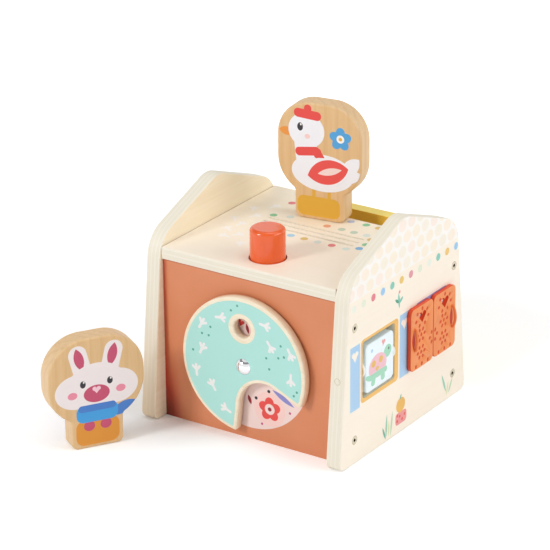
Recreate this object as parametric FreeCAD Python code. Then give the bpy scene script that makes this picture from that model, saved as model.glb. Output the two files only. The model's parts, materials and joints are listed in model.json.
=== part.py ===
import FreeCAD
import Part
import math
import os

# A wooden pop-up farmhouse for a small child, in millimetres, +Z up.
# +X is the side with the windows, -Y is the front with the turning disc.
# The origin is the middle of the house's base, on the floor.
#
# The house is six plywood boards. Pushing the round button tips a rocker
# inside, which lifts a tray under the slot in the deck and pops up the
# figure that stands in it. A disc turns on the front, a tile flips over in
# one side window, and two leaves open in front of the other.

Vector = FreeCAD.Vector

# ---- driving dimensions: house ----
inner_width = 150.0        # between the two gable boards
side_thickness = 12.0      # gable board
deck_depth = 148.0         # deck, front edge to rear edge
deck_height = 134.5        # floor to the deck's top
deck_thickness = 9.5
front_thickness = 9.0
front_recess = 1.5         # front board's face behind the deck's edge
back_thickness = 10.0
bottom_thickness = 9.0
foot_overhang = 14.0       # gable board beyond the deck's edge, at the floor
eave_overhang = 0.5        # the same, at the eave
eave_rise = 6.5            # eave corner above the deck
ridge_rise = 34.0          # ridge corner above the deck
foot_radius = 6.5
eave_radius = 25.0
ridge_radius = 22.0
board_softening = 1.2      # rounding along a board's edges

# ---- driving dimensions: deck ----
slot_width = 78.0
slot_depth = 17.0
slot_corner = 1.5
groove_length = 84.0
groove_width = 2.4
groove_depth = 2.5
groove_pitch = 7.0
groove_count = 3
groove_middle = 9.2        # middle groove behind the deck's middle

# ---- driving dimensions: button and what it works ----
button_x = 1.2
button_setback = 25.0      # button's middle behind the deck's front edge
button_radius = 13.0
button_height = 23.5       # above the deck, at rest
button_rounding = 3.0
button_travel = 14.0
plate_width = 40.0         # plate that keeps the button in
plate_reach = 17.0         # plate behind the button's middle
plate_thickness = 4.0
stem_radius = 5.0
stem_socket = 12.0         # stem's reach into the button
shelf_drop = 27.0          # spring shelf's top below the deck's underside
shelf_thickness = 6.0
shelf_depth = 28.0
spring_radius = 8.0        # to the middle of the wire
spring_wire = 0.7
spring_turns = 5
arcs_per_turn = 8
pivot_height = 46.0
front_arm = 49.0           # rocker, pivot to stem
rocker_width = 30.0
rocker_thickness = 9.0
rocker_tail = 6.0          # board beyond each of its two contacts
kicker_radius = 4.0
kicker_base = 3.0
pin_radius = 2.5
bracket_thickness = 8.0
bracket_depth = 20.0
bracket_top = 9.0          # bracket above the pin's middle
tray_thickness = 6.0
chute_wall = 3.0
chute_front_wall = 4.0
chute_foot = 30.0          # chute's lower end above the floor

# ---- driving dimensions: disc ----
disc_height = 60.0
disc_radius = 53.2
disc_thickness = 7.0
disc_standoff = 1.2
disc_rounding = 1.4
finger_hole_radius = 7.3
finger_hole_beside = -0.6
finger_hole_offset = 29.6
notch_apex_x = -0.5        # where the notch's two flanks would meet, from the bolt
notch_apex_z = 0.8
notch_left_deg = 263.5
notch_right_deg = 335.7
notch_radius = 22.0
horn_radius = 2.2
bolt_radius = 3.0
bolt_cap_radius = 6.3
bolt_cap_height = 3.4
spacer_radius = 8.0
washer_radius = 6.5
washer_thickness = 1.2
nut_across_flats = 10.0
nut_thickness = 5.0

# ---- driving dimensions: side windows ----
tile_window_width = 43.4
tile_window_height = 44.0
tile_window_from_front = 16.4   # deck's front edge to the window
tile_window_sill = 47.0
window_corner = 2.5
tile_width = 37.6
tile_height = 37.4
tile_thickness = 14.0
tile_corner = 4.0          # tile's corners, seen from the side
tile_rounding = 1.0
axle_drop = 0.6            # axle below the window's middle
axle_radius = 2.5
axle_reach = 9.0           # axle into the wall each side of the window
bush_radius = 6.8
leaf_width = 31.4
leaf_height = 49.0
leaf_thickness = 3.5
leaf_sill = 45.0
leaf_corner = 4.5
leaf_rounding = 0.7
leaf_gap = 0.5
heart_width = 10.8
heart_height = 8.8
heart_drop = 9.7           # heart's middle below the leaf's top
tie_radius = 1.0
tie_inset = 5.3            # tie's holes from the leaf's hinge edge
tie_spacing = 16.4
tie_middle = 69.5
tie_rise = 1.3             # tie's middle line in front of the leaf, at its bends
front_tie_bow = 2.0        # where a bow's two slopes would meet, in front of the leaf
rear_tie_bow = 4.1
tie_bow_radius = 18.0
knot_radius = 2.3

# ---- driving dimensions: fasteners ----
screw_radius = 1.75
screw_head_radius = 3.5
screw_head_depth = 2.2
screw_length = 30.0
screw_tip = 4.0
screw_point = 0.3          # radius at the tip
socket_across_flats = 2.6
socket_depth = 1.4
screw_low = 19.0
screw_high = 106.0
dowel_radius = 3.0
dowel_length = 16.0
deck_dowel_depth = 6.0     # of the dowel's length, in the deck
foot_dowel_depth = 6.0     # the same, in the front or back board
dowel_spread = 110.0

# ---- driving dimensions: figures ----
figure_thickness = 15.5
figure_rounding = 1.8
figure_base_width = 40.0
duck_height = 91.0
duck_head_width = 68.2
duck_neck = 18.4
duck_x = -7.8
duck_before = 8.0          # duck's middle in front of the slot's front edge
duck_turn_deg = 8.0
rabbit_height = 86.6
rabbit_head_width = 74.3
rabbit_neck = 19.6
rabbit_beside = 4.3        # rabbit's middle beyond the left gable board
rabbit_before = 51.4       # rabbit's middle in front of the gable's foot
rabbit_turn_deg = 58.0
crown_share = 0.79         # crown's radius, of the head's half width
cheek_share = 0.84         # cheek's radius, of the head's half width
base_corner = 5.0
neck_radius = 4.0

# ---- fits ----
running_fit = 0.05         # radial, shaft in a hole
glue_fit = 0.03
panel_gap = 0.25           # deck to gable board
button_gap = 1.0
leaf_standoff = 0.3
contact_gap = 0.3          # between pieces that push one another
face_gap = 0.1             # disc to its spacer and its bolt
slide_gap = 0.5            # tray in its chute, plate beside the front board
tie_fit = 0.1
knot_wall_gap = 1.35       # rear tie's knots to the back board
dowel_end_gap = 0.12       # dowel hole beyond the dowel's end
same_place = 1e-4          # two places closer than this are one

# ---- worked-out places ----
side_inner = inner_width / 2
side_outer = side_inner + side_thickness
deck_front = -deck_depth / 2
deck_rear = deck_depth / 2
deck_under = deck_height - deck_thickness
front_face = deck_front + front_recess
front_inner = front_face + front_thickness
back_inner = deck_rear - back_thickness
slot_half = slot_width / 2
slot_front = back_inner - slot_depth
slot_middle = (slot_front + back_inner) / 2

button_y = deck_front + button_setback
plate_top = deck_under - contact_gap
plate_under = plate_top - plate_thickness
shelf_top = deck_under - shelf_drop
shelf_under = shelf_top - shelf_thickness
pivot_y = button_y + front_arm
rear_arm = slot_middle - pivot_y
rocker_tilt = math.atan(button_travel / 2 / front_arm)
kicker_lift = rocker_thickness / 2 + kicker_base
board_top_at_stem = (pivot_height + rocker_thickness / 2 / math.cos(rocker_tilt)
                     + front_arm * math.tan(rocker_tilt))
stem_ball_z = board_top_at_stem + stem_radius / math.cos(rocker_tilt) + contact_gap
kicker_top = (pivot_height - rear_arm * math.sin(rocker_tilt)
              + kicker_lift * math.cos(rocker_tilt) + kicker_radius)
tray_under = kicker_top + contact_gap
tray_top = tray_under + tray_thickness

disc_back = front_face - disc_standoff
disc_front = disc_back - disc_thickness
bolt_end = front_inner + washer_thickness + nut_thickness

tile_window_front = deck_front + tile_window_from_front
tile_window_rear = tile_window_front + tile_window_width
tile_window_middle = (tile_window_front + tile_window_rear) / 2
tile_window_top = tile_window_sill + tile_window_height
axle_x = side_outer - side_thickness / 2
axle_height = tile_window_sill + tile_window_height / 2 - axle_drop
leaf_back = side_outer + leaf_standoff
leaf_face = leaf_back + leaf_thickness
meeting_y = (back_inner - knot_wall_gap - knot_radius
             - (leaf_width - tie_inset + leaf_gap / 2))
leaf_top = leaf_sill + leaf_height
tie_low = tie_middle - tie_spacing / 2
tie_high = tie_middle + tie_spacing / 2


# ---- shared shapes ----
def box(x0, x1, y0, y1, z0, z1):
    """A box between two corners."""
    return Part.makeBox(x1 - x0, y1 - y0, z1 - z0, Vector(x0, y0, z0))


def rod(radius, start, end):
    """A round bar from one point to another."""
    run = end - start
    return Part.makeCylinder(radius, run.Length, start, run)


def round_path(corners, closed):
    """Straight runs through the corners, each joined by a tangent arc.

    corners is a list of (point, radius); a radius of 0 keeps the corner.
    """
    count = len(corners)
    trims = []
    edges = []
    for index, (point, radius) in enumerate(corners):
        if radius == 0 or (not closed and index in (0, count - 1)):
            trims.append((point, point))
            continue
        before = (corners[index - 1][0] - point).normalize()
        after = (corners[(index + 1) % count][0] - point).normalize()
        half = before.getAngle(after) / 2
        reach = radius / math.tan(half)
        middle = (before + after).normalize() * (radius / math.sin(half) - radius)
        start = point + before * reach
        end = point + after * reach
        edges.append((index, Part.Arc(start, point + middle, end).toShape()))
        trims.append((start, end))
    arcs = dict(edges)
    runs = []
    for index in range(count if closed else count - 1):
        if index in arcs:
            runs.append(arcs[index])
        start = trims[index][1]
        end = trims[(index + 1) % count][0]
        if (end - start).Length > 1e-6:
            runs.append(Part.LineSegment(start, end).toShape())
    if not closed and count - 1 in arcs:
        runs.append(arcs[count - 1])
    return Part.Wire(runs)


def slab(corners, place, depth):
    """An outline of (u, v, radius) corners, placed in space and extruded."""
    wire = round_path([(place(u, v), radius) for u, v, radius in corners], True)
    return Part.Face(wire).extrude(depth)


def on_x(x):
    """Places an outline's (y, z) on the plane at x."""
    return lambda y, z: Vector(x, y, z)


def on_y(y):
    """Places an outline's (x, z) on the plane at y."""
    return lambda x, z: Vector(x, y, z)


def on_z(z):
    """Places an outline's (x, y) on the plane at z."""
    return lambda x, y: Vector(x, y, z)


def rectangle(u0, u1, v0, v1, radius):
    """Corners of a rectangle, all rounded alike."""
    return [(u0, v0, radius), (u1, v0, radius), (u1, v1, radius), (u0, v1, radius)]


def edges_at(shape, axis, values):
    """Edges that lie wholly on one of the planes axis = value."""
    found = []
    for edge in shape.Edges:
        low = getattr(edge.BoundBox, axis + "Min")
        high = getattr(edge.BoundBox, axis + "Max")
        if any(abs(low - value) < same_place and abs(high - value) < same_place for value in values):
            found.append(edge)
    return found


def soften(shape, radius, axis, values):
    """Rounds every edge on the planes axis = value."""
    return shape.makeFillet(radius, edges_at(shape, axis, values))


def fuse(shapes):
    """Joins touching shapes into one clean solid."""
    return shapes[0].fuse(shapes[1:]).removeSplitter()


def hexagon(across_flats, start, depth):
    """A six-sided bar that starts at a point and runs along +Y or +Z."""
    corner = across_flats / math.sqrt(3)
    if abs(depth.y) > 0:
        place = on_y(start.y)
        u0, v0 = start.x, start.z
    else:
        place = on_z(start.z)
        u0, v0 = start.x, start.y
    turns = [math.radians(60 * step) for step in range(6)]
    corners = [(u0 + corner * math.cos(turn), v0 + corner * math.sin(turn), 0) for turn in turns]
    return slab(corners, place, depth)


def heart(middle_u, middle_v, place, depth):
    """A heart-shaped bar: two lobes over two straight flanks."""
    lobe = heart_width / 4
    shoulder = middle_v + heart_height / 2 - lobe
    tip = place(middle_u, middle_v - heart_height / 2)
    left = place(middle_u - 2 * lobe, shoulder)
    right = place(middle_u + 2 * lobe, shoulder)
    dip = place(middle_u, shoulder)
    wire = Part.Wire([
        Part.Arc(left, place(middle_u - lobe, shoulder + lobe), dip).toShape(),
        Part.Arc(dip, place(middle_u + lobe, shoulder + lobe), right).toShape(),
        Part.LineSegment(right, tip).toShape(),
        Part.LineSegment(tip, left).toShape(),
    ])
    return Part.Face(wire).extrude(depth)


# ---- fasteners ----
def screw(fit=0.0):
    """A countersunk screw along -Z with its head's face at 0, grown by a fit."""
    shank_end = -(screw_length - screw_tip)
    head = Part.makeCone(screw_radius + fit, screw_head_radius + fit, screw_head_depth,
                         Vector(0, 0, -screw_head_depth), Vector(0, 0, 1))
    shank = rod(screw_radius + fit, Vector(0, 0, shank_end - fit), Vector(0, 0, -screw_head_depth))
    tip = Part.makeCone(screw_point + fit, screw_radius + fit, screw_tip,
                        Vector(0, 0, -screw_length - fit), Vector(0, 0, 1))
    return fuse([head, shank, tip])


def side_screws(side, fit=0.0):
    """The four screws through one gable board; side is -1 or 1."""
    front_y = (front_face + front_inner) / 2
    back_y = (back_inner + deck_rear) / 2
    turn = FreeCAD.Rotation(Vector(0, 0, 1), Vector(side, 0, 0))
    found = []
    for y in (front_y, back_y):
        for z in (screw_low, screw_high):
            piece = screw(fit)
            if fit == 0.0:
                well = hexagon(socket_across_flats, Vector(0, 0, -socket_depth),
                               Vector(0, 0, 2 * socket_depth))
                piece = piece.cut(well)
            piece.Placement = FreeCAD.Placement(Vector(side * side_outer, y, z), turn)
            found.append(piece)
    return found


def dowels(fit=0.0):
    """Pegs that hold the deck down, then pegs that hold the bottom board."""
    found = []
    end_gap = dowel_end_gap if fit else 0.0
    low = deck_under + deck_dowel_depth - dowel_length
    peg_z = bottom_thickness / 2
    for x in (-dowel_spread / 2, dowel_spread / 2):
        for y in ((front_face + front_inner) / 2, (back_inner + deck_rear) / 2):
            found.append(rod(dowel_radius + fit, Vector(x, y, low - end_gap),
                             Vector(x, y, low + dowel_length + end_gap)))
        reach = dowel_length - foot_dowel_depth
        found.append(rod(dowel_radius + fit,
                         Vector(x, front_inner - foot_dowel_depth - end_gap, peg_z),
                         Vector(x, front_inner + reach + end_gap, peg_z)))
        found.append(rod(dowel_radius + fit, Vector(x, back_inner - reach - end_gap, peg_z),
                         Vector(x, back_inner + foot_dowel_depth + end_gap, peg_z)))
    return found


# ---- house boards ----
def gable_board(side):
    """A side board: flared foot, straight eaves and a low rounded ridge."""
    foot = deck_depth / 2 + foot_overhang
    eave = deck_depth / 2 + eave_overhang
    eave_z = deck_height + eave_rise
    corners = [
        (-foot, 0, foot_radius),
        (foot, 0, foot_radius),
        (eave, eave_z, eave_radius),
        (0, deck_height + ridge_rise, ridge_radius),
        (-eave, eave_z, eave_radius),
    ]
    board = slab(corners, on_x(side * side_inner), Vector(side * side_thickness, 0, 0))
    board = soften(board, board_softening, "X", (side * side_inner, side * side_outer))
    return board.cut(side_screws(side, running_fit))


def right_board():
    """The gable board with the tile's window, its axle's bore and the ties' holes."""
    through = Vector(side_thickness, 0, 0)
    board = gable_board(1)
    tile_window = slab(rectangle(tile_window_front, tile_window_rear, tile_window_sill,
                                 tile_window_top, window_corner), on_x(side_inner), through)
    cuts = [tile_window, axle_bore()]
    for y in tie_rows():
        for z in (tie_low, tie_high):
            cuts.append(rod(tie_radius + tie_fit, Vector(side_inner, y, z),
                            Vector(side_outer, y, z)))
    return board.cut(cuts)


def axle_bore():
    """The tile axle's bore, drilled in from the board's front edge."""
    front_edge = deck_front - foot_overhang
    radius = axle_radius + running_fit
    blind_end = tile_window_rear + axle_reach
    return rod(radius, Vector(axle_x, front_edge, axle_height), Vector(axle_x, blind_end, axle_height))


def axle_plug():
    """The peg that closes the bore, cut flush with the board's edge."""
    inner_end = tile_window_front - axle_reach - contact_gap
    peg = rod(axle_radius + running_fit - glue_fit,
              Vector(axle_x, deck_front - foot_overhang, axle_height),
              Vector(axle_x, inner_end, axle_height))
    return peg.common(gable_board(1))


def front_board():
    """The front board, with the hole for the disc's bolt."""
    board = box(-side_inner, side_inner, front_face, front_inner, 0, deck_under)
    bolt_hole = rod(bolt_radius + running_fit, Vector(0, front_face, disc_height),
                    Vector(0, front_inner, disc_height))
    return board.cut([bolt_hole] + board_fastener_holes())


def back_board():
    """The back board; its tongue rises behind the slot, flush with the deck."""
    board = box(-side_inner, side_inner, back_inner, deck_rear, 0, deck_under)
    tongue = box(-slot_half + panel_gap, slot_half - panel_gap, back_inner, deck_rear,
                 deck_under, deck_height)
    return fuse([board, tongue]).cut(board_fastener_holes())


def bottom_board():
    """The floor of the house, between the four walls."""
    board = box(-side_inner, side_inner, front_inner, back_inner, 0, bottom_thickness)
    return board.cut(dowels(glue_fit))


def board_fastener_holes():
    """Pilot holes of the screws and pegs that meet the front and back boards."""
    return side_screws(-1, running_fit) + side_screws(1, running_fit) + dowels(glue_fit)


def deck():
    """The deck: slot at the rear, button hole, three grooves between them."""
    half = side_inner - panel_gap
    board = box(-half, half, deck_front, deck_rear, deck_under, deck_height)
    front_edges = [edge for edge in edges_at(board, "Y", (deck_front,))
                   if edge.BoundBox.XLength > half]
    board = board.makeFillet(board_softening, front_edges)
    notch = slab([(-slot_half, slot_front, slot_corner), (slot_half, slot_front, slot_corner),
                  (slot_half, deck_rear, 0), (-slot_half, deck_rear, 0)],
                 on_z(deck_under), Vector(0, 0, deck_thickness))
    hole = rod(button_radius + button_gap, Vector(button_x, button_y, deck_under),
               Vector(button_x, button_y, deck_height))
    cuts = [notch, hole] + dowels(glue_fit)
    for step in range(groove_count):
        y = groove_middle + groove_pitch * (step - (groove_count - 1) / 2)
        groove = slab(rectangle(-groove_length / 2, groove_length / 2, y - groove_width / 2,
                                y + groove_width / 2, groove_width * 0.45),
                      on_z(deck_height - groove_depth), Vector(0, 0, groove_depth))
        cuts.append(groove)
    return board.cut(cuts)


# ---- chute and tray ----
def chute_front():
    """The chute's front wall, with a slit for the rocker's tail."""
    half = slot_half + chute_wall
    wall = box(-half, half, slot_front - chute_front_wall, slot_front, chute_foot, deck_under)
    slit_half = rocker_width / 2 + 2 * contact_gap
    slit_top = tray_under + button_travel * rear_arm / front_arm
    slit = box(-slit_half, slit_half, slot_front - chute_front_wall, slot_front,
               chute_foot, slit_top)
    return wall.cut(slit)


def chute_side(side):
    """One end wall of the chute."""
    edges = sorted((side * slot_half, side * (slot_half + chute_wall)))
    return box(edges[0], edges[1], slot_front, back_inner, chute_foot, deck_under)


def tray():
    """The tray that a figure stands on in its slot."""
    half = slot_half - slide_gap
    plate = box(-half, half, slot_front + slide_gap, back_inner - slide_gap, tray_under, tray_top)
    return soften(plate, board_softening, "Z", (tray_top,))


# ---- button, spring and rocker ----
def button():
    """The push button, a short round bar with a rounded rim."""
    top = deck_height + button_height
    bar = rod(button_radius, Vector(button_x, button_y, plate_top), Vector(button_x, button_y, top))
    bar = soften(bar, button_rounding, "Z", (top,))
    socket = rod(stem_radius + glue_fit, Vector(button_x, button_y, plate_top),
                 Vector(button_x, button_y, plate_top + stem_socket))
    return bar.cut(socket)


def button_plate():
    """The plate under the deck that keeps the button in and from turning."""
    plate = box(button_x - plate_width / 2, button_x + plate_width / 2,
                front_inner + slide_gap, button_y + plate_reach, plate_under, plate_top)
    return plate.cut(rod(stem_radius + glue_fit, Vector(button_x, button_y, plate_under),
                         Vector(button_x, button_y, plate_top)))


def stem():
    """The peg from the button down to the rocker, with a round end."""
    bar = rod(stem_radius, Vector(button_x, button_y, stem_ball_z),
              Vector(button_x, button_y, plate_top + stem_socket - contact_gap))
    ball = Part.makeSphere(stem_radius, Vector(button_x, button_y, stem_ball_z))
    return fuse([bar, ball])


def spring():
    """The coil spring between the shelf and the plate, in arcs of a share of a turn."""
    low = shelf_top + spring_wire
    rise = plate_under - shelf_top - 2 * spring_wire
    count = 2 * spring_turns * arcs_per_turn
    points = []
    for step in range(count + 1):
        turn = 2 * math.pi * spring_turns * step / count
        points.append(Vector(button_x + spring_radius * math.cos(turn),
                             button_y + spring_radius * math.sin(turn),
                             low + rise * step / count))
    arcs = [Part.Arc(*points[step:step + 3]).toShape() for step in range(0, count, 2)]
    climb = rise / (2 * math.pi * spring_turns)
    section = Part.makeCircle(spring_wire, points[0], Vector(0, spring_radius, climb))
    return Part.Wire(arcs).makePipeShell([Part.Wire([section])], True, True)


def spring_shelf():
    """The cross board that guides the stem and carries the spring."""
    board = box(-side_inner, side_inner, front_inner, front_inner + shelf_depth,
                shelf_under, shelf_top)
    return board.cut(rod(stem_radius + running_fit, Vector(button_x, button_y, shelf_under),
                         Vector(button_x, button_y, shelf_top)))


def tip_to_rest(shape):
    """Turns a piece drawn on a level rocker to the rocker's rest angle."""
    shape.rotate(Vector(0, pivot_y, pivot_height), Vector(1, 0, 0), -math.degrees(rocker_tilt))
    return shape


def rocker():
    """The rocker board on its pivot pin."""
    half = rocker_width / 2
    board = box(-half, half, pivot_y - front_arm - rocker_tail,
                pivot_y + rear_arm + rocker_tail,
                pivot_height - rocker_thickness / 2, pivot_height + rocker_thickness / 2)
    bore = rod(pin_radius + running_fit, Vector(-half, pivot_y, pivot_height),
               Vector(half, pivot_y, pivot_height))
    return tip_to_rest(board.cut(bore))


def kicker():
    """The rounded strip on the rocker's tail that lifts the tray."""
    half = rocker_width / 2
    y = pivot_y + rear_arm
    seat = pivot_height + rocker_thickness / 2
    round_z = seat + kicker_base
    strip = box(-half, half, y - kicker_radius, y + kicker_radius, seat, round_z)
    nose = rod(kicker_radius, Vector(-half, y, round_z), Vector(half, y, round_z))
    upper = box(-half, half, y - kicker_radius, y + kicker_radius, round_z,
                round_z + kicker_radius)
    return tip_to_rest(fuse([strip, nose.common(upper)]))


def bracket(side):
    """One post that carries the pivot pin."""
    near = rocker_width / 2 + 2 * contact_gap
    edges = sorted((side * near, side * (near + bracket_thickness)))
    post = box(edges[0], edges[1], pivot_y - bracket_depth / 2, pivot_y + bracket_depth / 2,
               bottom_thickness, pivot_height + bracket_top)
    bore = rod(pin_radius + glue_fit, Vector(edges[0], pivot_y, pivot_height),
               Vector(edges[1], pivot_y, pivot_height))
    return post.cut(bore)


def pivot_pin():
    """The steel pin of the rocker."""
    half = rocker_width / 2 + 2 * contact_gap + bracket_thickness
    return rod(pin_radius, Vector(-half, pivot_y, pivot_height), Vector(half, pivot_y, pivot_height))


# ---- disc ----
def disc():
    """The turning disc: a deep notch with two horns, and a finger hole."""
    back = Vector(0, disc_back, disc_height)
    plate = rod(disc_radius, back, Vector(0, disc_front, disc_height))
    apex = (notch_apex_x, disc_height + notch_apex_z)
    reach = disc_radius * 2.5
    corners = [(apex[0], apex[1], notch_radius)]
    for degrees in (notch_left_deg, notch_right_deg):
        turn = math.radians(degrees)
        corners.append((apex[0] + reach * math.cos(turn), apex[1] + reach * math.sin(turn), 0))
    notch = slab(corners, on_y(disc_back), Vector(0, -disc_thickness, 0))
    plate = plate.cut(notch)
    horns = [edge for edge in plate.Edges
             if abs(edge.BoundBox.YLength - disc_thickness) < same_place
             and edge.BoundBox.XLength < same_place and edge.BoundBox.ZLength < same_place
             and math.hypot(edge.CenterOfMass.x, edge.CenterOfMass.z - disc_height)
             > disc_radius - disc_rounding and edge.CenterOfMass.z < disc_height]
    plate = plate.makeFillet(horn_radius, horns)
    finger_z = disc_height + finger_hole_offset
    plate = plate.cut(rod(finger_hole_radius, Vector(finger_hole_beside, disc_back, finger_z),
                          Vector(finger_hole_beside, disc_front, finger_z)))
    plate = soften(plate, disc_rounding, "Y", (disc_back, disc_front))
    return plate.cut(rod(bolt_radius + running_fit, back, Vector(0, disc_front, disc_height)))


def disc_bolt():
    """The bolt the disc turns on, with a domed cap."""
    seat = disc_front - face_gap
    shank = rod(bolt_radius, Vector(0, seat, disc_height), Vector(0, bolt_end, disc_height))
    ball_radius = (bolt_cap_radius ** 2 + bolt_cap_height ** 2) / (2 * bolt_cap_height)
    ball = Part.makeSphere(ball_radius, Vector(0, seat - bolt_cap_height + ball_radius, disc_height))
    before_seat = box(-ball_radius, ball_radius, seat - ball_radius, seat,
                      disc_height - ball_radius, disc_height + ball_radius)
    cap = ball.common(before_seat)
    return fuse([shank, cap])


def ring(outer, inner, y0, y1):
    """A flat ring round the disc's bolt."""
    start = Vector(0, y0, disc_height)
    end = Vector(0, y1, disc_height)
    return rod(outer, start, end).cut(rod(inner, start, end))


def disc_nut():
    """The nut on the inner end of the disc's bolt."""
    y = front_inner + washer_thickness
    nut = hexagon(nut_across_flats, Vector(0, y, disc_height), Vector(0, nut_thickness, 0))
    return nut.cut(rod(bolt_radius + glue_fit, Vector(0, y, disc_height),
                       Vector(0, y + nut_thickness, disc_height)))


# ---- tile window ----
def tile():
    """The two-sided tile that flips over in its window."""
    y0 = tile_window_middle - tile_width / 2
    y1 = tile_window_middle + tile_width / 2
    x0 = axle_x - tile_thickness / 2
    x1 = axle_x + tile_thickness / 2
    block = slab(rectangle(y0, y1, axle_height - tile_height / 2,
                           axle_height + tile_height / 2, tile_corner),
                 on_x(x0), Vector(tile_thickness, 0, 0))
    block = soften(block, tile_rounding, "X", (x0, x1))
    return block.cut(rod(axle_radius + glue_fit, Vector(axle_x, y0, axle_height),
                         Vector(axle_x, y1, axle_height)))


def tile_axle():
    """The peg the tile turns on."""
    return rod(axle_radius, Vector(axle_x, tile_window_front - axle_reach, axle_height),
               Vector(axle_x, tile_window_rear + axle_reach - contact_gap, axle_height))


def tile_bushes():
    """The rings that keep the tile off the window's two upright edges."""
    half_tile = tile_width / 2
    half_window = tile_window_width / 2 - contact_gap
    found = []
    for side in (-1, 1):
        start = Vector(axle_x, tile_window_middle + side * half_tile, axle_height)
        end = Vector(axle_x, tile_window_middle + side * half_window, axle_height)
        found.append(rod(bush_radius, start, end).cut(rod(axle_radius + glue_fit, start, end)))
    return found


# ---- leaves and their ties ----
def leaf_edges(side):
    """A leaf's hinge edge and free edge; side is -1 for the front leaf."""
    free = meeting_y + side * leaf_gap / 2
    return free + side * leaf_width, free


def tie_rows():
    """Where the elastic ties of the two leaves pass through the board."""
    return [leaf_edges(side)[0] - side * tie_inset for side in (-1, 1)]


def leaf(side):
    """One of the two small doors, with a heart cut through it."""
    hinge, free = leaf_edges(side)
    thickness = Vector(leaf_thickness, 0, 0)
    panel = slab(rectangle(min(hinge, free), max(hinge, free), leaf_sill, leaf_top, leaf_corner),
                 on_x(leaf_back), thickness)
    panel = soften(panel, leaf_rounding, "X", (leaf_face,))
    cuts = [heart((hinge + free) / 2, leaf_top - heart_drop, on_x(leaf_back), thickness)]
    for z in (tie_low, tie_high):
        y = hinge - side * tie_inset
        cuts.append(rod(tie_radius + tie_fit, Vector(leaf_back, y, z), Vector(leaf_face, y, z)))
    return panel.cut(cuts)


def leaf_tie(side, bow):
    """The tie's loop on a leaf: out of one hole, bowed over the face, into the other."""
    y = leaf_edges(side)[0] - side * tie_inset
    bend = leaf_face + tie_rise
    corners = [
        (Vector(leaf_back, y, tie_low), 0),
        (Vector(bend, y, tie_low), tie_rise),
        (Vector(leaf_face + bow, y, tie_middle), tie_bow_radius),
        (Vector(bend, y, tie_high), tie_rise),
        (Vector(leaf_back, y, tie_high), 0),
    ]
    start = corners[0][0]
    profile = Part.Wire([Part.makeCircle(tie_radius, start, Vector(1, 0, 0))])
    return round_path(corners, False).makePipeShell([profile], True, False)


def tie_ends(side):
    """The same tie's two ends in the board, each knotted inside."""
    y = leaf_edges(side)[0] - side * tie_inset
    ends = []
    for z in (tie_low, tie_high):
        middle = Vector(side_inner - knot_radius, y, z)
        run = rod(tie_radius, middle, Vector(side_outer, y, z))
        knot = Part.makeSphere(knot_radius, middle, Vector(1, 0, 0))
        ends.append(fuse([run, knot]))
    return ends


# ---- figures ----
def figure(height, head_width, neck, place):
    """A thick flat animal block: a round head over a narrower base.

    place is the (x, y, floor, turn) where the block stands, turned about +Z.
    """
    front = on_y(-figure_thickness / 2)
    thickness = Vector(0, figure_thickness, 0)
    half_head = head_width / 2
    half_base = figure_base_width / 2
    crown = half_head * crown_share
    cheek = half_head * cheek_share
    head = slab([(-half_head, neck, cheek), (half_head, neck, cheek),
                 (half_head, height, crown), (-half_head, height, crown)], front, thickness)
    base = slab([(-half_base, 0, base_corner), (half_base, 0, base_corner),
                 (half_base, neck + cheek, 0), (-half_base, neck + cheek, 0)], front, thickness)
    block = fuse([head, base])
    necks = [edge for edge in block.Edges
             if edge.BoundBox.XLength < same_place and edge.BoundBox.ZLength < same_place
             and abs(abs(edge.CenterOfMass.x) - half_base) < same_place
             and edge.CenterOfMass.z > base_corner + same_place]
    block = block.makeFillet(neck_radius, necks)
    block = soften(block, figure_rounding, "Y", (-figure_thickness / 2, figure_thickness / 2))
    x, y, floor, turn = place
    block.rotate(Vector(0, 0, 0), Vector(0, 0, 1), turn)
    block.translate(Vector(x, y, floor))
    return block


pieces = {
    "left_side_board": [gable_board(-1)],
    "right_side_board": [right_board()],
    "front_board": [front_board()],
    "back_board": [back_board()],
    "bottom_board": [bottom_board()],
    "top_deck": [deck()],
    "left_screws": side_screws(-1),
    "right_screws": side_screws(1),
    "board_dowels": dowels(),
    "axle_plug": [axle_plug()],
    "chute_front_wall": [chute_front()],
    "chute_left_wall": [chute_side(-1)],
    "chute_right_wall": [chute_side(1)],
    "spring_shelf": [spring_shelf()],
    "left_pivot_bracket": [bracket(-1)],
    "right_pivot_bracket": [bracket(1)],
    "pivot_pin": [pivot_pin()],
    "front_tie_ends": tie_ends(-1),
    "rear_tie_ends": tie_ends(1),
    "disc_spacer": [ring(spacer_radius, bolt_radius + running_fit, disc_back + face_gap, front_face)],
    "disc_bolt": [disc_bolt()],
    "disc_washer": [ring(washer_radius, bolt_radius + running_fit, front_inner,
                         front_inner + washer_thickness)],
    "disc_nut": [disc_nut()],
    "turning_disc": [disc()],
    "push_button": [button()],
    "button_plate": [button_plate()],
    "button_stem": [stem()],
    "return_spring": [spring()],
    "rocker_board": [rocker()],
    "rocker_kicker": [kicker()],
    "pop_up_tray": [tray()],
    "flip_tile": [tile()],
    "tile_axle": [tile_axle()],
    "tile_bushes": tile_bushes(),
    "front_leaf": [leaf(-1)],
    "front_leaf_tie": [leaf_tie(-1, front_tie_bow)],
    "rear_leaf": [leaf(1)],
    "rear_leaf_tie": [leaf_tie(1, rear_tie_bow)],
    "duck_figure": [figure(duck_height, duck_head_width, duck_neck,
                           (duck_x, slot_front - duck_before, deck_height, duck_turn_deg))],
    "rabbit_figure": [figure(rabbit_height, rabbit_head_width, rabbit_neck,
                             (-side_outer - rabbit_beside,
                              deck_front - foot_overhang - rabbit_before, 0,
                              rabbit_turn_deg))],
}

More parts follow.
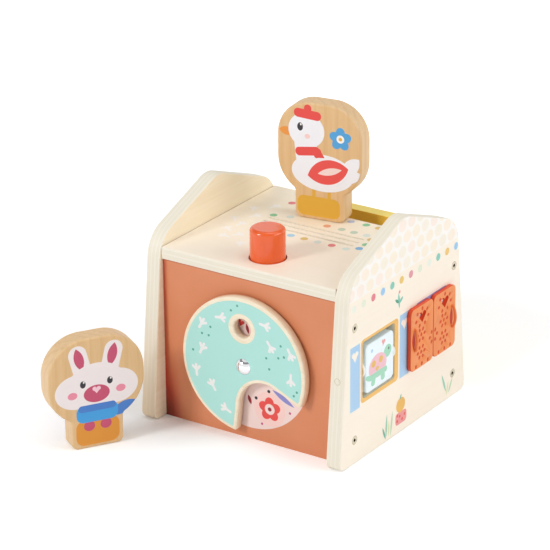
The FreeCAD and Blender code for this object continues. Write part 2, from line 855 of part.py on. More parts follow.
os.makedirs("parts", exist_ok=True)
for name, solids in pieces.items():
    shape = solids[0] if len(solids) == 1 else Part.makeCompound(solids)
    shape.exportStep(os.path.join("parts", name + ".step"))
    print(name, "solids", len(shape.Solids), "valid", shape.isValid(),
          "volume", round(shape.Volume, 1))
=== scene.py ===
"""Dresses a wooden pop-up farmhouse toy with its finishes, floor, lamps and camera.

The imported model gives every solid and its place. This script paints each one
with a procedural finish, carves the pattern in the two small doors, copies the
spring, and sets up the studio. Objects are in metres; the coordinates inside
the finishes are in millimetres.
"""

from __future__ import annotations

import json
import logging
import math
from dataclasses import dataclass, field, replace
from enum import Enum
from functools import cached_property, partial, partialmethod

import bpy
from mathutils import Matrix, Vector

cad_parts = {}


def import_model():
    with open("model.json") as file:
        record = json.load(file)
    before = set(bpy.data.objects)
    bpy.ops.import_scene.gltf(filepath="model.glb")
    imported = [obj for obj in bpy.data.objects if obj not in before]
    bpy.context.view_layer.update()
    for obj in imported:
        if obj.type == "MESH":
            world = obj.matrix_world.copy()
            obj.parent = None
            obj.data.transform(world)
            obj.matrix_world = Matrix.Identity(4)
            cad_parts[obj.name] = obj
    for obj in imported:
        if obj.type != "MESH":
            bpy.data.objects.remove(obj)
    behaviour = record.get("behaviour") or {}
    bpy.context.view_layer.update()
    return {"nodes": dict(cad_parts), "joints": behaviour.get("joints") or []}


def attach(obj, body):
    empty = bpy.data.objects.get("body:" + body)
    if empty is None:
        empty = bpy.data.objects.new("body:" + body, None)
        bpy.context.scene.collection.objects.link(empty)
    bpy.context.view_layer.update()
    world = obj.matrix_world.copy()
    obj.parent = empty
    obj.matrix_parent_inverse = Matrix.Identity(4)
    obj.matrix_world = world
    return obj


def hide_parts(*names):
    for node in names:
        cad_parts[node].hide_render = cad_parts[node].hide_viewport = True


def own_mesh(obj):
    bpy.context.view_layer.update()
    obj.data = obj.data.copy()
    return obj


log = logging.getLogger("farmhouse")

Colour = tuple[float, float, float, float]
Pair = tuple[float, float]
Place = tuple[float, float, float]
Piece = bpy.types.Object
Socket = bpy.types.NodeSocket
Tree = bpy.types.NodeTree
Value = object  # a socket, a Number or a constant
FLOAT = "NodeSocketFloat"
VECTOR = "NodeSocketVector"
MILLIMETRES = 1000.0


def ink(red: int, green: int, blue: int) -> Colour:
    """Turns screen colour bytes into the linear colour that a shader takes.

    Args:
        red: Red byte, 0 to 255.
        green: Green byte.
        blue: Blue byte.

    Returns:
        The linear colour with full alpha.
    """
    def linear(byte: int) -> float:
        """Undoes the screen curve for one byte."""
        value = byte / 255
        return value / 12.92 if value <= 0.04045 else ((value + 0.055) / 1.055) ** 2.4

    return linear(red), linear(green), linear(blue), 1.0


@dataclass(frozen=True)
class Number:
    """A number in a node tree, which adds Math nodes as it is reckoned with."""

    bench: Bench
    socket: Socket

    def reckon(self, operation: str, *others: Value) -> Number:
        """Returns what a Math node makes of the number and others."""
        return self.bench.math(operation, self, *others)

    __add__ = partialmethod(reckon, "ADD")
    __sub__ = partialmethod(reckon, "SUBTRACT")
    __mul__ = partialmethod(reckon, "MULTIPLY")
    __truediv__ = partialmethod(reckon, "DIVIDE")
    __abs__ = partialmethod(reckon, "ABSOLUTE")
    at_least = partialmethod(reckon, "MAXIMUM")
    at_most = partialmethod(reckon, "MINIMUM")

    def ease(self, low: float, high: float, start: float = 0.0, end: float = 1.0) -> Number:
        """Eases the number from one range to another and keeps it inside.

        Args:
            low: Where the eased part begins.
            high: Where it ends.
            start: The result at low and below.
            end: The result at high and above.

        Returns:
            The eased number.
        """
        ends = {"Value": self, "From Min": low, "From Max": high, "To Min": start, "To Max": end}
        node = self.bench.add("ShaderNodeMapRange", ends, interpolation_type="SMOOTHSTEP")
        return Number(self.bench, node.outputs["Result"])


@dataclass
class Bench:
    """Places and joins the nodes of one node tree."""

    tree: Tree

    def add(self, kind: str, inputs: dict | None = None, **settings: object) -> bpy.types.Node:
        """Adds a node.

        Args:
            kind: The node's type name.
            inputs: What its inputs take, by name or place.
            settings: Properties to set on it.

        Returns:
            The new node.
        """
        node = self.tree.nodes.new(kind)
        for name, value in settings.items():
            setattr(node, name, value)
        for name, value in (inputs or {}).items():
            self.feed(node.inputs[name], value)
        return node

    def feed(self, socket: Socket, value: Value) -> None:
        """Joins a socket to a value, or sets it.

        Args:
            socket: The input.
            value: What it takes.
        """
        if isinstance(value, Number):
            value = value.socket
        if isinstance(value, Socket):
            self.tree.links.new(value, socket)
        else:
            socket.default_value = value

    def math(self, operation: str, *values: Value) -> Number:
        """Returns what a Math node makes of some numbers."""
        node = self.add("ShaderNodeMath", dict(enumerate(values)), operation=operation)
        return Number(self, node.outputs[0])

    def vector(self, operation: str, *values: Value) -> Socket:
        """Returns the vector that a Vector Math node makes of some vectors."""
        node = self.add("ShaderNodeVectorMath", dict(enumerate(values)), operation=operation)
        return node.outputs["Vector"]

    def measure(self, operation: str, *values: Value) -> Number:
        """Returns the number that a Vector Math node makes of some vectors."""
        node = self.add("ShaderNodeVectorMath", dict(enumerate(values)), operation=operation)
        return Number(self, node.outputs["Value"])

    def split(self, vector: Value) -> tuple[Number, ...]:
        """Returns a vector's three numbers."""
        node = self.add("ShaderNodeSeparateXYZ", {0: vector})
        return tuple(Number(self, socket) for socket in node.outputs)

    def combine(self, x: Value, y: Value, z: Value = 0.0) -> Socket:
        """Returns the vector of three numbers."""
        return self.add("ShaderNodeCombineXYZ", {0: x, 1: y, 2: z}).outputs[0]

    def reach(self, x: Value, y: Value) -> Number:
        """Returns the distance of a flat place from its origin."""
        return self.measure("LENGTH", self.combine(x, y))

    def mix(self, factor: Value, under: Value, over: Value) -> Socket:
        """Returns one colour laid over another by a factor."""
        node = self.add("ShaderNodeMix", {0: factor, 6: under, 7: over}, data_type="RGBA")
        return node.outputs[2]

    def noise(self, position: Value, scale: float, detail: float = 2.0,
              distortion: float = 0.0) -> Number:
        """Returns smooth noise, about 0.5 on average, with scale features per unit."""
        inputs = {"Vector": position, "Scale": scale, "Detail": detail, "Distortion": distortion}
        return Number(self, self.add("ShaderNodeTexNoise", inputs).outputs[0])

    def bands(self, share: Value, colours: tuple[Colour, ...]) -> Socket:
        """Picks one colour of a row.

        Args:
            share: How far along the row, 0 to 1.
            colours: The row, with an equal band for each colour.

        Returns:
            The colour's socket.
        """
        ramp = self.add("ShaderNodeValToRGB", {0: share})
        ramp.color_ramp.interpolation = "CONSTANT"
        stops = ramp.color_ramp.elements
        stops.remove(stops[1])
        stops[0].color = colours[0]
        for step, colour in enumerate(colours[1:], start=1):
            stops.new(step / len(colours)).color = colour
        return ramp.outputs[0]

    def place(self, group: Tree, **inputs: Value) -> dict[str, Number]:
        """Returns the results, by name, of a node group with its inputs set or joined."""
        node = self.add("ShaderNodeGroup", inputs, node_tree=group)
        return {socket.name: Number(self, socket) for socket in node.outputs}


class Axis(Enum):
    """Which way the grain runs: the order of the coordinates, the one along it first."""

    X = (0, 1, 2)
    Y = (1, 2, 0)
    Z = (2, 0, 1)


class Stencil(Enum):
    """The flat shapes that prints are made of."""

    SPOT = "spot"
    BAR = "bar"
    HEART = "heart"
    LEAF = "leaf"
    TRACK = "track"
    BLOSSOM = "blossom"


@dataclass(frozen=True)
class Mark:
    """One printed shape, in millimetres on its face.

    extra is a bar's corner radius or a blossom's number of petals, and turn
    is in degrees, anticlockwise.
    """

    stencil: Stencil
    colour: Colour
    u: float
    v: float
    width: float
    height: float
    extra: float = 0.0
    turn: float = 0.0


spot, bar, heart, leaf, track, blossom = (partial(Mark, stencil) for stencil in Stencil)


def dot(colour: Colour, u: float, v: float, width: float) -> Mark:
    """Returns a round spot."""
    return spot(colour, u, v, width, width)


def pair(mark: Mark) -> tuple[Mark, Mark]:
    """Returns a mark and its mirror image."""
    return mark, replace(mark, u=-mark.u, turn=-mark.turn)


@dataclass(frozen=True)
class Outline:
    """A stencil's edge, whose methods tell how far outside it a place lies.

    x and y are the place from the stencil's middle; extra is as in a Mark.
    """

    bench: Bench
    x: Number
    y: Number
    width: Number
    height: Number
    extra: Number

    def spot(self) -> Number:
        """Returns the distance outside an ellipse, near its edge."""
        reach = self.bench.reach(self.x * 2.0 / self.width, self.y * 2.0 / self.height)
        return (reach - 1.0) * (self.width.at_most(self.height) * 0.5)

    def bar(self) -> Number:
        """Measures from a rounded rectangle.

        Returns:
            The distance outside it.
        """
        over = [(abs(place) - (size * 0.5 - self.extra)).at_least(0.0)
                for place, size in ((self.x, self.width), (self.y, self.height))]
        return self.bench.reach(*over) - self.extra

    def heart(self) -> Number:
        """Measures from two round lobes over two flanks.

        Returns:
            The distance outside them.
        """
        lobe, half = self.width * 0.25, self.height * 0.5
        shoulder = half - lobe
        side, rise = abs(self.x), self.y - shoulder
        slope = self.width * 0.5 / (shoulder + half)
        flanks = (side - (self.y + half) * slope).at_least(rise)
        return (self.bench.reach(side - lobe, rise) - lobe).at_most(flanks)

    def leaf(self) -> Number:
        """Returns the distance outside a leaf with two pointed ends, made of two arcs."""
        radius = (self.width * self.width + self.height * self.height) * 0.25 / self.width
        return self.bench.reach(abs(self.x) + (radius - self.width * 0.5), self.y) - radius

    def toe(self, start: Pair, end: Pair) -> Number:
        """Measures from one toe of a footprint.

        Args:
            start: Where it begins, in shares of the width and the height.
            end: Where it ends.

        Returns:
            The distance from its middle line.
        """
        bench = self.bench
        start, end = (bench.combine(self.width * u, self.height * v) for u, v in (start, end))
        run = bench.vector("SUBTRACT", end, start)
        off = bench.vector("SUBTRACT", bench.combine(abs(self.x), self.y), start)
        share = bench.measure("DOT_PRODUCT", off, run) / bench.measure("DOT_PRODUCT", run, run)
        share = share.at_least(0.0).at_most(1.0)
        along = bench.vector("MULTIPLY", run, bench.combine(share, share, share))
        return bench.measure("LENGTH", bench.vector("SUBTRACT", off, along))

    def track(self) -> Number:
        """Returns the distance outside a footprint: a middle toe and one on each side."""
        side = self.toe((0.0, -0.04), (0.44, 0.28))
        return self.toe((0.0, -0.5), (0.0, 0.44)).at_most(side) - self.height * 0.12

    def blossom(self) -> Number:
        """Measures from a flower of round petals.

        Returns:
            The distance outside it.
        """
        angle = self.bench.math("ARCTAN2", self.y, self.x)
        wave = abs((angle * self.extra * 0.5).reckon("COSINE"))
        limit = self.width * 0.5 * wave.reckon("MULTIPLY_ADD", 0.3, 0.7)
        return self.bench.reach(self.x, self.y) - limit


@dataclass
class GroupRack:
    """Builds each shared node group once and keeps it."""

    blur: float = 0.11
    long_streaks: Place = (0.012, 0.30, 0.30)
    fine_streaks: Place = (0.06, 2.4, 2.4)
    ring_waver: float = 9.0
    layer_waver: float = 0.5
    scale_overlap: Pair = (2.35, 2.1)
    stencils: dict[Stencil, Tree] = field(default_factory=dict)

    @staticmethod
    def begin(name: str, **inputs: str) -> tuple[Bench, bpy.types.bpy_prop_collection]:
        """Opens a new node group.

        Args:
            name: The group's name.
            inputs: Socket kinds by input name.

        Returns:
            The group's bench and its inputs by name.
        """
        tree = bpy.data.node_groups.new(name, "ShaderNodeTree")
        for label, kind in inputs.items():
            tree.interface.new_socket(label, in_out="INPUT", socket_type=kind)
        bench = Bench(tree)
        return bench, bench.add("NodeGroupInput").outputs

    @staticmethod
    def end(bench: Bench, **results: Value) -> Tree:
        """Closes a node group.

        Args:
            bench: The group's bench.
            results: The group's results by name.

        Returns:
            The finished group.
        """
        for label in results:
            bench.tree.interface.new_socket(label, in_out="OUTPUT", socket_type=FLOAT)
        last = bench.add("NodeGroupOutput")
        for label, value in results.items():
            bench.feed(last.inputs[label], value)
        return bench.tree

    def stencil(self, stencil: Stencil) -> Tree:
        """Builds a stencil's group, or finds it.

        Args:
            stencil: Which shape.

        Returns:
            A group that turns a place on the face into a mask.
        """
        if stencil not in self.stencils:
            bench, given = self.begin(stencil.value + "_stencil", Vector=VECTOR, Centre=VECTOR,
                                      Size=VECTOR, Turn=FLOAT)
            turned = bench.add("ShaderNodeVectorRotate", {
                "Vector": given["Vector"], "Center": given["Centre"], "Angle": given["Turn"]},
                rotation_type="Z_AXIS", invert=True)
            x, y, _ = bench.split(bench.vector("SUBTRACT", turned.outputs[0], given["Centre"]))
            outline = Outline(bench, x, y, *bench.split(given["Size"]))
            distance = getattr(outline, stencil.value)()
            self.stencils[stencil] = self.end(
                bench, Mask=distance.ease(-self.blur, self.blur, 1.0, 0.0))
        return self.stencils[stencil]

    @cached_property
    def grain(self) -> Tree:
        """The wood grain group, whose Vector has X along the grain.

        Returns:
            The group.
        """
        bench, given = self.begin("wood_grain", Vector=VECTOR, Rings=FLOAT)
        long = bench.vector("MULTIPLY", given["Vector"], self.long_streaks)
        fine = bench.vector("MULTIPLY", given["Vector"], self.fine_streaks)
        broad = bench.noise(long, 1.0, 3.0, 0.4)
        thin = bench.noise(fine, 1.0, 2.0, 0.2)
        _, across, deep = bench.split(given["Vector"])
        warp = broad.reckon("MULTIPLY_ADD", self.ring_waver, across + deep)
        wave = (warp / given["Rings"] * math.tau).reckon("SINE")
        return self.end(bench, Streaks=broad * 0.65 + thin * 0.35, Pores=thin.ease(0.62, 0.74),
                        Lines=wave.ease(0.35, 1.0))

    @cached_property
    def layers(self) -> Tree:
        """The plywood edge group, which reads depth through the board.

        Returns:
            The group.
        """
        bench, given = self.begin("ply_layers", Depth=FLOAT, Pitch=FLOAT, Vector=VECTOR)
        wander = bench.noise(given["Vector"], 0.05) - 0.5
        depth = wander.reckon("MULTIPLY_ADD", self.layer_waver, given["Depth"])
        count = depth / given["Pitch"]
        seam = abs(count.reckon("FRACT") - 0.5)
        odd = (count.reckon("FLOOR") * 0.5).reckon("FRACT")
        return self.end(bench, Glue=seam.ease(0.38, 0.5), Cross=odd * 2.0)

    @cached_property
    def scales(self) -> Tree:
        """The roof-scale print's group: a mask and a tint for each scale.

        Returns:
            The group.
        """
        bench, given = self.begin("roof_scales", Vector=VECTOR, Pitch=VECTOR)
        u, v, _ = bench.split(given["Vector"])
        across, up, _ = bench.split(given["Pitch"])
        rows = v / up
        row = rows.reckon("FLOOR")
        columns = u / across + (row * 0.5).reckon("FRACT")
        column = columns.reckon("FLOOR")
        wide, high = self.scale_overlap
        reach = bench.reach((columns - column - 0.5) * wide, (rows - row - 0.5) * high)
        white = bench.add("ShaderNodeTexWhiteNoise", {"Vector": bench.combine(row, column)},
                          noise_dimensions="2D")
        return self.end(bench, Mask=reach.ease(0.88, 1.0, 1.0, 0.0), Tint=white.outputs["Value"])


GROUPS = GroupRack()


class Coat(Bench):
    """A material under construction, whose position is in millimetres."""

    def __init__(self, name: str) -> None:
        """Starts the material.

        Args:
            name: The material's name.
        """
        self.material = bpy.data.materials.new(name)
        self.material.use_nodes = True
        super().__init__(self.material.node_tree)
        self.shader = next(node for node in self.tree.nodes if node.type == "BSDF_PRINCIPLED")
        place = self.add("ShaderNodeTexCoord").outputs["Object"]
        self.position = self.vector("MULTIPLY", place, (MILLIMETRES,) * 3)

    def surface(self, colour: Value, roughness: Value, **constants: Value) -> None:
        """Sets what the surface looks like.

        Args:
            colour: Base colour.
            roughness: Roughness.
            constants: Other shader inputs by name, with _ for a space.
        """
        self.feed(self.shader.inputs["Base Color"], colour)
        self.feed(self.shader.inputs["Roughness"], roughness)
        for name, value in constants.items():
            self.feed(self.shader.inputs[name.replace("_", " ")], value)

    def bump(self, height: Number, depth: float) -> None:
        """Raises the surface by a height map of 0 to 1, which is depth metres high."""
        node = self.add("ShaderNodeBump", {"Height": height, "Distance": depth, "Strength": 1.0})
        self.feed(self.shader.inputs["Normal"], node.outputs[0])

    def cloud(self, scale: float, detail: float = 2.0) -> Number:
        """Returns noise over the whole piece."""
        return self.noise(self.position, scale, detail)

    def mottle(self, scale: float, pale: Colour, deep: Colour, low: float = 0.35,
               high: float = 0.7) -> Socket:
        """Returns two colours blended in soft patches, pure beyond the low and high noise."""
        return self.mix(self.cloud(scale).ease(low, high), pale, deep)

    def grain(self, along: Axis, rings: float) -> dict[str, Number]:
        """Places the wood grain.

        Args:
            along: The axis that the grain runs along.
            rings: Millimetres between growth rings.

        Returns:
            The grain group's results.
        """
        numbers = self.split(self.position)
        vector = self.combine(*(numbers[place] for place in along.value))
        return self.place(GROUPS.grain, Vector=vector, Rings=rings)

    def wood(self, along: Axis, rings: float, tones: tuple[Colour, Colour, Colour],
             share: float) -> Socket:
        """Colours bare wood.

        Args:
            along: The grain's axis.
            rings: Millimetres between growth rings.
            tones: The lightest wood, the darker streaks, and the lines and pores.
            share: How strongly the lines show.

        Returns:
            The colour's socket.
        """
        grain = self.grain(along, rings)
        pale, deep, line = tones
        colour = self.mix(grain["Streaks"].ease(0.36, 0.66), pale, deep)
        return self.mix(grain["Lines"].at_least(grain["Pores"]) * share, colour, line)

    def ply_edge(self, depth: Number, pitch: float) -> Socket:
        """Colours the layers on a plywood board's edge.

        Args:
            depth: Millimetres through the board.
            pitch: Millimetres from layer to layer.

        Returns:
            The colour's socket.
        """
        layers = self.place(GROUPS.layers, Depth=depth, Pitch=pitch, Vector=self.position)
        edge = self.mix(layers["Cross"] * 0.7, INKS.ply_edge, INKS.ply_cross)
        return self.mix(layers["Glue"] * 0.4, edge, INKS.ply_glue)

    def draw(self, under: Value, plane: Value, marks: tuple[Mark, ...]) -> Socket:
        """Prints marks over a colour, in order.

        Args:
            under: The colour below.
            plane: Millimetres across the face, as a vector with 0 for depth.
            marks: The marks, the lowest first.

        Returns:
            The printed colour's socket.
        """
        for mark in marks:
            printed = self.place(GROUPS.stencil(mark.stencil), Vector=plane,
                                 Centre=(mark.u, mark.v, 0.0),
                                 Size=(mark.width, mark.height, mark.extra),
                                 Turn=math.radians(mark.turn))
            under = self.mix(printed["Mask"], under, mark.colour)
        return under


@dataclass(frozen=True)
class Palette:
    """The toy's own colours."""

    ply_face: Colour = ink(252, 241, 214)
    ply_streak: Colour = ink(249, 235, 204)
    ply_line: Colour = ink(232, 208, 166)
    ply_edge: Colour = ink(244, 237, 221)
    ply_cross: Colour = ink(238, 231, 211)
    ply_glue: Colour = ink(224, 214, 190)
    cream: Colour = ink(254, 243, 226)
    white: Colour = ink(254, 250, 244)
    down: Colour = ink(246, 246, 251)
    fleece: Colour = ink(246, 235, 234)
    rose_pink: Colour = ink(200, 76, 110)
    coral: Colour = ink(221, 140, 98)
    coral_deep: Colour = ink(150, 62, 34)
    yellow: Colour = ink(252, 230, 116)
    yellow_painted_shade: Colour = ink(255, 206, 72)
    mint: Colour = ink(178, 230, 221)
    button: Colour = ink(240, 94, 18)
    door: Colour = ink(243, 147, 84)
    engraved: Colour = ink(220, 84, 42)
    cut: Colour = ink(240, 80, 44)
    cord_shadow: Colour = ink(208, 40, 16)
    shutter: Colour = ink(168, 207, 240)
    frame: Colour = ink(242, 190, 98)
    violet: Colour = ink(140, 140, 205)
    red: Colour = ink(232, 72, 66)
    rose: Colour = ink(238, 150, 150)
    maroon: Colour = ink(150, 30, 44)
    magenta: Colour = ink(196, 82, 128)
    blue: Colour = ink(86, 170, 226)
    deep_blue: Colour = ink(52, 120, 190)
    teal: Colour = ink(110, 196, 176)
    dark_green: Colour = ink(60, 150, 120)
    amber: Colour = ink(226, 172, 52)
    black: Colour = ink(34, 28, 38)
    grass: Colour = ink(146, 204, 178)
    sedge: Colour = ink(92, 176, 152)
    straw: Colour = ink(220, 226, 176)
    mist: Colour = ink(190, 218, 180)
    pink: Colour = ink(244, 219, 213)
    skin: Colour = ink(146, 214, 180)


INKS = Palette()
PLY_TONES = (INKS.ply_face, INKS.ply_streak, INKS.ply_line)


class Side(Enum):
    """Which gable board: its outward direction along X."""

    LEFT = -1
    RIGHT = 1


@dataclass(frozen=True)
class Finish:
    """What a material looks like; each kind paints its own way."""

    name: str

    def paint(self, coat: Coat) -> None:
        """Gives the coat its surface."""
        raise NotImplementedError

    def make(self) -> bpy.types.Material:
        """Makes the material.

        Returns:
            The finished material.
        """
        coat = Coat(self.name)
        self.paint(coat)
        return coat.material


@dataclass(frozen=True)
class WoodFinish(Finish):
    """Bare wood inside the toy: plywood or oiled beech."""

    along: Axis
    rings: float = 14.0
    tones: tuple[Colour, Colour, Colour] = PLY_TONES
    share: float = 0.35
    roughness: Pair = (0.5, 0.62)

    def paint(self, coat: Coat) -> None:
        """Gives the coat its grain."""
        colour = coat.wood(self.along, self.rings, self.tones, self.share)
        coat.surface(colour, coat.cloud(0.4).ease(0.3, 0.7, *self.roughness))


def flower(middle: float, colour: Colour) -> tuple[Mark, ...]:
    """Lists the marks of one tall flower of the meadow.

    Args:
        middle: Where it stands along the board.
        colour: Its petals' colour.

    Returns:
        Its marks.
    """
    return (
        leaf(INKS.teal, middle, 54.0, 1.6, 34.0, turn=3),
        leaf(INKS.teal, middle + 4.6, 50.0, 4.0, 13.0, turn=-42),
        leaf(INKS.dark_green, middle - 4.6, 46.0, 4.0, 13.0, turn=42),
        blossom(colour, middle, 74.0, 19.0, 19.0, 6.0),
        dot(INKS.cream, middle, 74.0, 6.4),
        dot(INKS.red, middle, 74.0, 2.6),
    )


MEADOW_MARKS = flower(-44.0, INKS.rose) + flower(-8.0, INKS.amber) + flower(38.0, INKS.blue)

GARDEN_MARKS = (
    leaf(INKS.grass, -24.8, 12.5, 2.4, 19.0, turn=-4),
    leaf(INKS.straw, -21.6, 9.5, 2.0, 13.0, turn=-2),
    leaf(INKS.mist, -17.8, 12.0, 2.4, 20.0, turn=-8),
    leaf(INKS.sedge, -28.0, 8.0, 2.2, 11.5, turn=22),
    leaf(INKS.straw, 61.8, 9.5, 2.0, 12.0, turn=-12),
    leaf(INKS.mist, 66.2, 10.5, 2.4, 13.0, turn=-28),
    leaf(INKS.grass, 56.6, 15.2, 2.4, 18.0, turn=22),
    bar(INKS.rose, -4.7, 12.0, 15.4, 9.6, 3.0),
    *(dot(INKS.red, u, v, 2.4)
      for u, v in ((-9.8, 10.4), (-6.4, 13.4), (-3.0, 10.2), (0.4, 13.0), (-9.6, 14.8))),
    spot(ink(236, 182, 78), -5.2, 22.2, 12.4, 11.8),
    leaf(INKS.sedge, -5.2, 28.6, 1.6, 4.6, turn=-20),
    leaf(INKS.teal, -8.6, 105.8, 2.6, 12.5, turn=6),
    leaf(INKS.teal, -6.0, 105.4, 2.6, 7.0, turn=-58),
    leaf(INKS.dark_green, -11.2, 106.2, 2.4, 6.4, turn=54),
    dot(INKS.rose, -8.0, 112.4, 2.6),
)

WINDOW_MARKS = (
    bar(INKS.shutter, -67.5, 67.2, 12.9, 49.9, 0.7),
    heart(INKS.cream, -67.5, 83.4, 8.4, 8.0),
    bar(INKS.shutter, -0.8, 68.6, 12.9, 49.9, 0.7),
    heart(INKS.cream, -0.8, 84.8, 8.4, 8.0),
    bar(INKS.frame, -34.55, 68.55, 50.5, 49.3, 3.6),
    bar(ink(160, 158, 210), 36.8, 69.8, 46.0, 49.8, 4.6),
    bar(ink(254, 246, 238), 36.8, 69.8, 41.0, 44.0, 2.4),
    bar(INKS.teal, 36.5, 62.0, 1.6, 22.0, 0.7),
    leaf(INKS.teal, 41.4, 58.6, 5.0, 13.0, turn=-46),
    leaf(INKS.dark_green, 31.6, 58.6, 5.0, 13.0, turn=46),
    blossom(INKS.rose, 36.5, 74.0, 18.0, 18.0, 6.0),
    dot(INKS.amber, 36.5, 74.0, 6.0),
    bar(INKS.deep_blue, 36.5, 51.6, 15.0, 6.4, 1.8),
)


@dataclass(frozen=True)
class GableFinish(Finish):
    """A printed gable board: cream outside, bare inside, ply layers on its edges."""

    side: Side
    marks: tuple[Mark, ...]
    inner: float = 75.0
    outer: float = 87.0
    pitch: float = 1.72
    rings: float = 26.0
    bead_height: float = 120.8
    bead_start: float = -69.0
    bead_pitch: float = 12.76
    bead_width: float = 5.8
    beads: tuple[Colour, ...] = (
        ink(240, 243, 228), ink(232, 238, 216), ink(230, 124, 138), ink(150, 200, 240),
        ink(122, 198, 180), ink(236, 198, 100), ink(224, 146, 156), ink(228, 236, 212),
        ink(238, 242, 228), ink(124, 200, 184), ink(238, 196, 104), ink(146, 200, 240))
    roof_foot: float = 127.0
    roof_shift: float = 4.3
    roof_pitch: Place = (12.5, 10.0, 1.0)
    roof_tints: tuple[Colour, ...] = (ink(253, 241, 224), ink(250, 242, 225), ink(252, 241, 221),
                                      ink(253, 239, 227), ink(249, 242, 227))

    def rows(self, coat: Coat, u: Number, v: Number) -> Socket:
        """Prints the pale roof scales and the row of coloured dots below them.

        Args:
            coat: The new material.
            u: Millimetres along the face.
            v: Millimetres up.

        Returns:
            The printed colour's socket.
        """
        local = coat.combine(u + self.roof_shift, v - self.roof_foot)
        scales = coat.place(GROUPS.scales, Vector=local, Pitch=self.roof_pitch)
        above = v.ease(self.roof_foot - 0.2, self.roof_foot + 0.2)
        tint = coat.bands(scales["Tint"], self.roof_tints)
        roof = coat.mix(above * scales["Mask"], coat.mix(above, INKS.cream, INKS.white), tint)
        count = (u - self.bead_start) / self.bead_pitch
        index = count.reckon("ROUND").at_least(0.0).at_most(len(self.beads) - 1)
        local = coat.combine((count - index) * self.bead_pitch, v - self.bead_height)
        bead = coat.place(GROUPS.stencil(Stencil.SPOT), Vector=local,
                          Size=(self.bead_width, self.bead_width, 0.0))
        colour = coat.bands((index + 0.5) / len(self.beads), self.beads)
        return coat.mix(bead["Mask"], roof, colour)

    def paint(self, coat: Coat) -> None:
        """Paints the board.

        Args:
            coat: The new material.
        """
        x, y, z = coat.split(coat.position)
        away, u = x * float(self.side.value), y * float(self.side.value)
        edge = coat.ply_edge(away - self.inner, self.pitch)
        # Painted shade: the left board's edges turn tan towards the bottom, for the shadow that
        # falls on its foot.
        if self.side is Side.LEFT:
            edge = coat.mix(z.ease(0.0, 85.0, 0.45, 0.0), edge, ink(206, 168, 112))
        inside = away.ease(self.inner + 0.25, self.inner + 0.55, 1.0, 0.0)
        colour = coat.mix(inside, edge, coat.wood(Axis.Y, self.rings, PLY_TONES, 0.12))
        art = coat.draw(self.rows(coat, u, z), coat.combine(u, z), GARDEN_MARKS + self.marks)
        veil = coat.grain(Axis.Y, self.rings)["Streaks"].ease(0.4, 0.7) * 0.06
        art = coat.mix(veil, art, INKS.ply_line)
        outside = away.ease(self.outer - 0.5, self.outer - 0.2)
        coat.bump(coat.cloud(1.6, 3.0), depth=0.00004)
        coat.surface(coat.mix(outside, colour, art), outside.ease(0.0, 1.0, 0.56, 0.42))


DECK_DOTS = {
    ink(232, 130, 132): ((-43.2, 49.8), (27.6, -5.3)),
    ink(140, 200, 150): ((-41.2, 22.0), (47.8, 9.0), (27.5, 42.0)),
    ink(222, 232, 224): ((-28.5, 25.5), (15.5, -5.3), (40.0, -5.5), (38.8, 24.5)),
    ink(170, 212, 236): ((-8.0, -5.0),),
    ink(226, 192, 120): ((3.7, -5.2), (45.8, 19.0), (38.5, 41.5)),
    ink(126, 184, 226): ((47.6, 0.2),),
    ink(196, 214, 192): ((27.8, 24.5), (17.0, 24.8)),
    ink(236, 168, 134): ((4.3, 24.7),),
    ink(196, 206, 232): ((14.5, 41.5),),
}

DECK_MARKS = (
    *(dot(colour, u, v, 5.8) for colour, places in DECK_DOTS.items() for u, v in places),
    *(track(INKS.white, u, v, 6.6, 8.6, turn=turn) for u, v, turn in (
        (-61, 25, 20), (-52, 13.5, -30), (-62, 1, 40), (-52, -5.5, -10), (-55, -18, 55),
        (-42, -24, -35), (-49, -31, 80), (-30, -38, 25), (-50, 37, -20))),
)


@dataclass(frozen=True)
class DeckFinish(Finish):
    """The deck: a printed top over plywood layers."""

    top: float = 134.5
    under: float = 125.0
    half_width: float = 74.75
    pitch: float = 1.9

    def paint(self, coat: Coat) -> None:
        """Paints the board, with a darker line along each side joint.

        Args:
            coat: The new material.
        """
        x, y, z = coat.split(coat.position)
        bare = coat.wood(Axis.X, 30.0, PLY_TONES, 0.12)
        warm = coat.mix(y.ease(-10.0, 50.0, 0.85, 0.55), bare, INKS.cream)
        top = coat.draw(warm, coat.combine(x, y), DECK_MARKS)
        joint = abs(x).ease(self.half_width - 0.6, self.half_width - 0.2) * 0.7
        top = coat.mix(joint, top, ink(146, 116, 80))
        face = z.ease(self.top - 0.5, self.top - 0.2)
        coat.bump(coat.cloud(1.6, 3.0), depth=0.00004)
        edge = coat.ply_edge(z - self.under, self.pitch)
        coat.surface(coat.mix(face, edge, top), roughness=0.5)


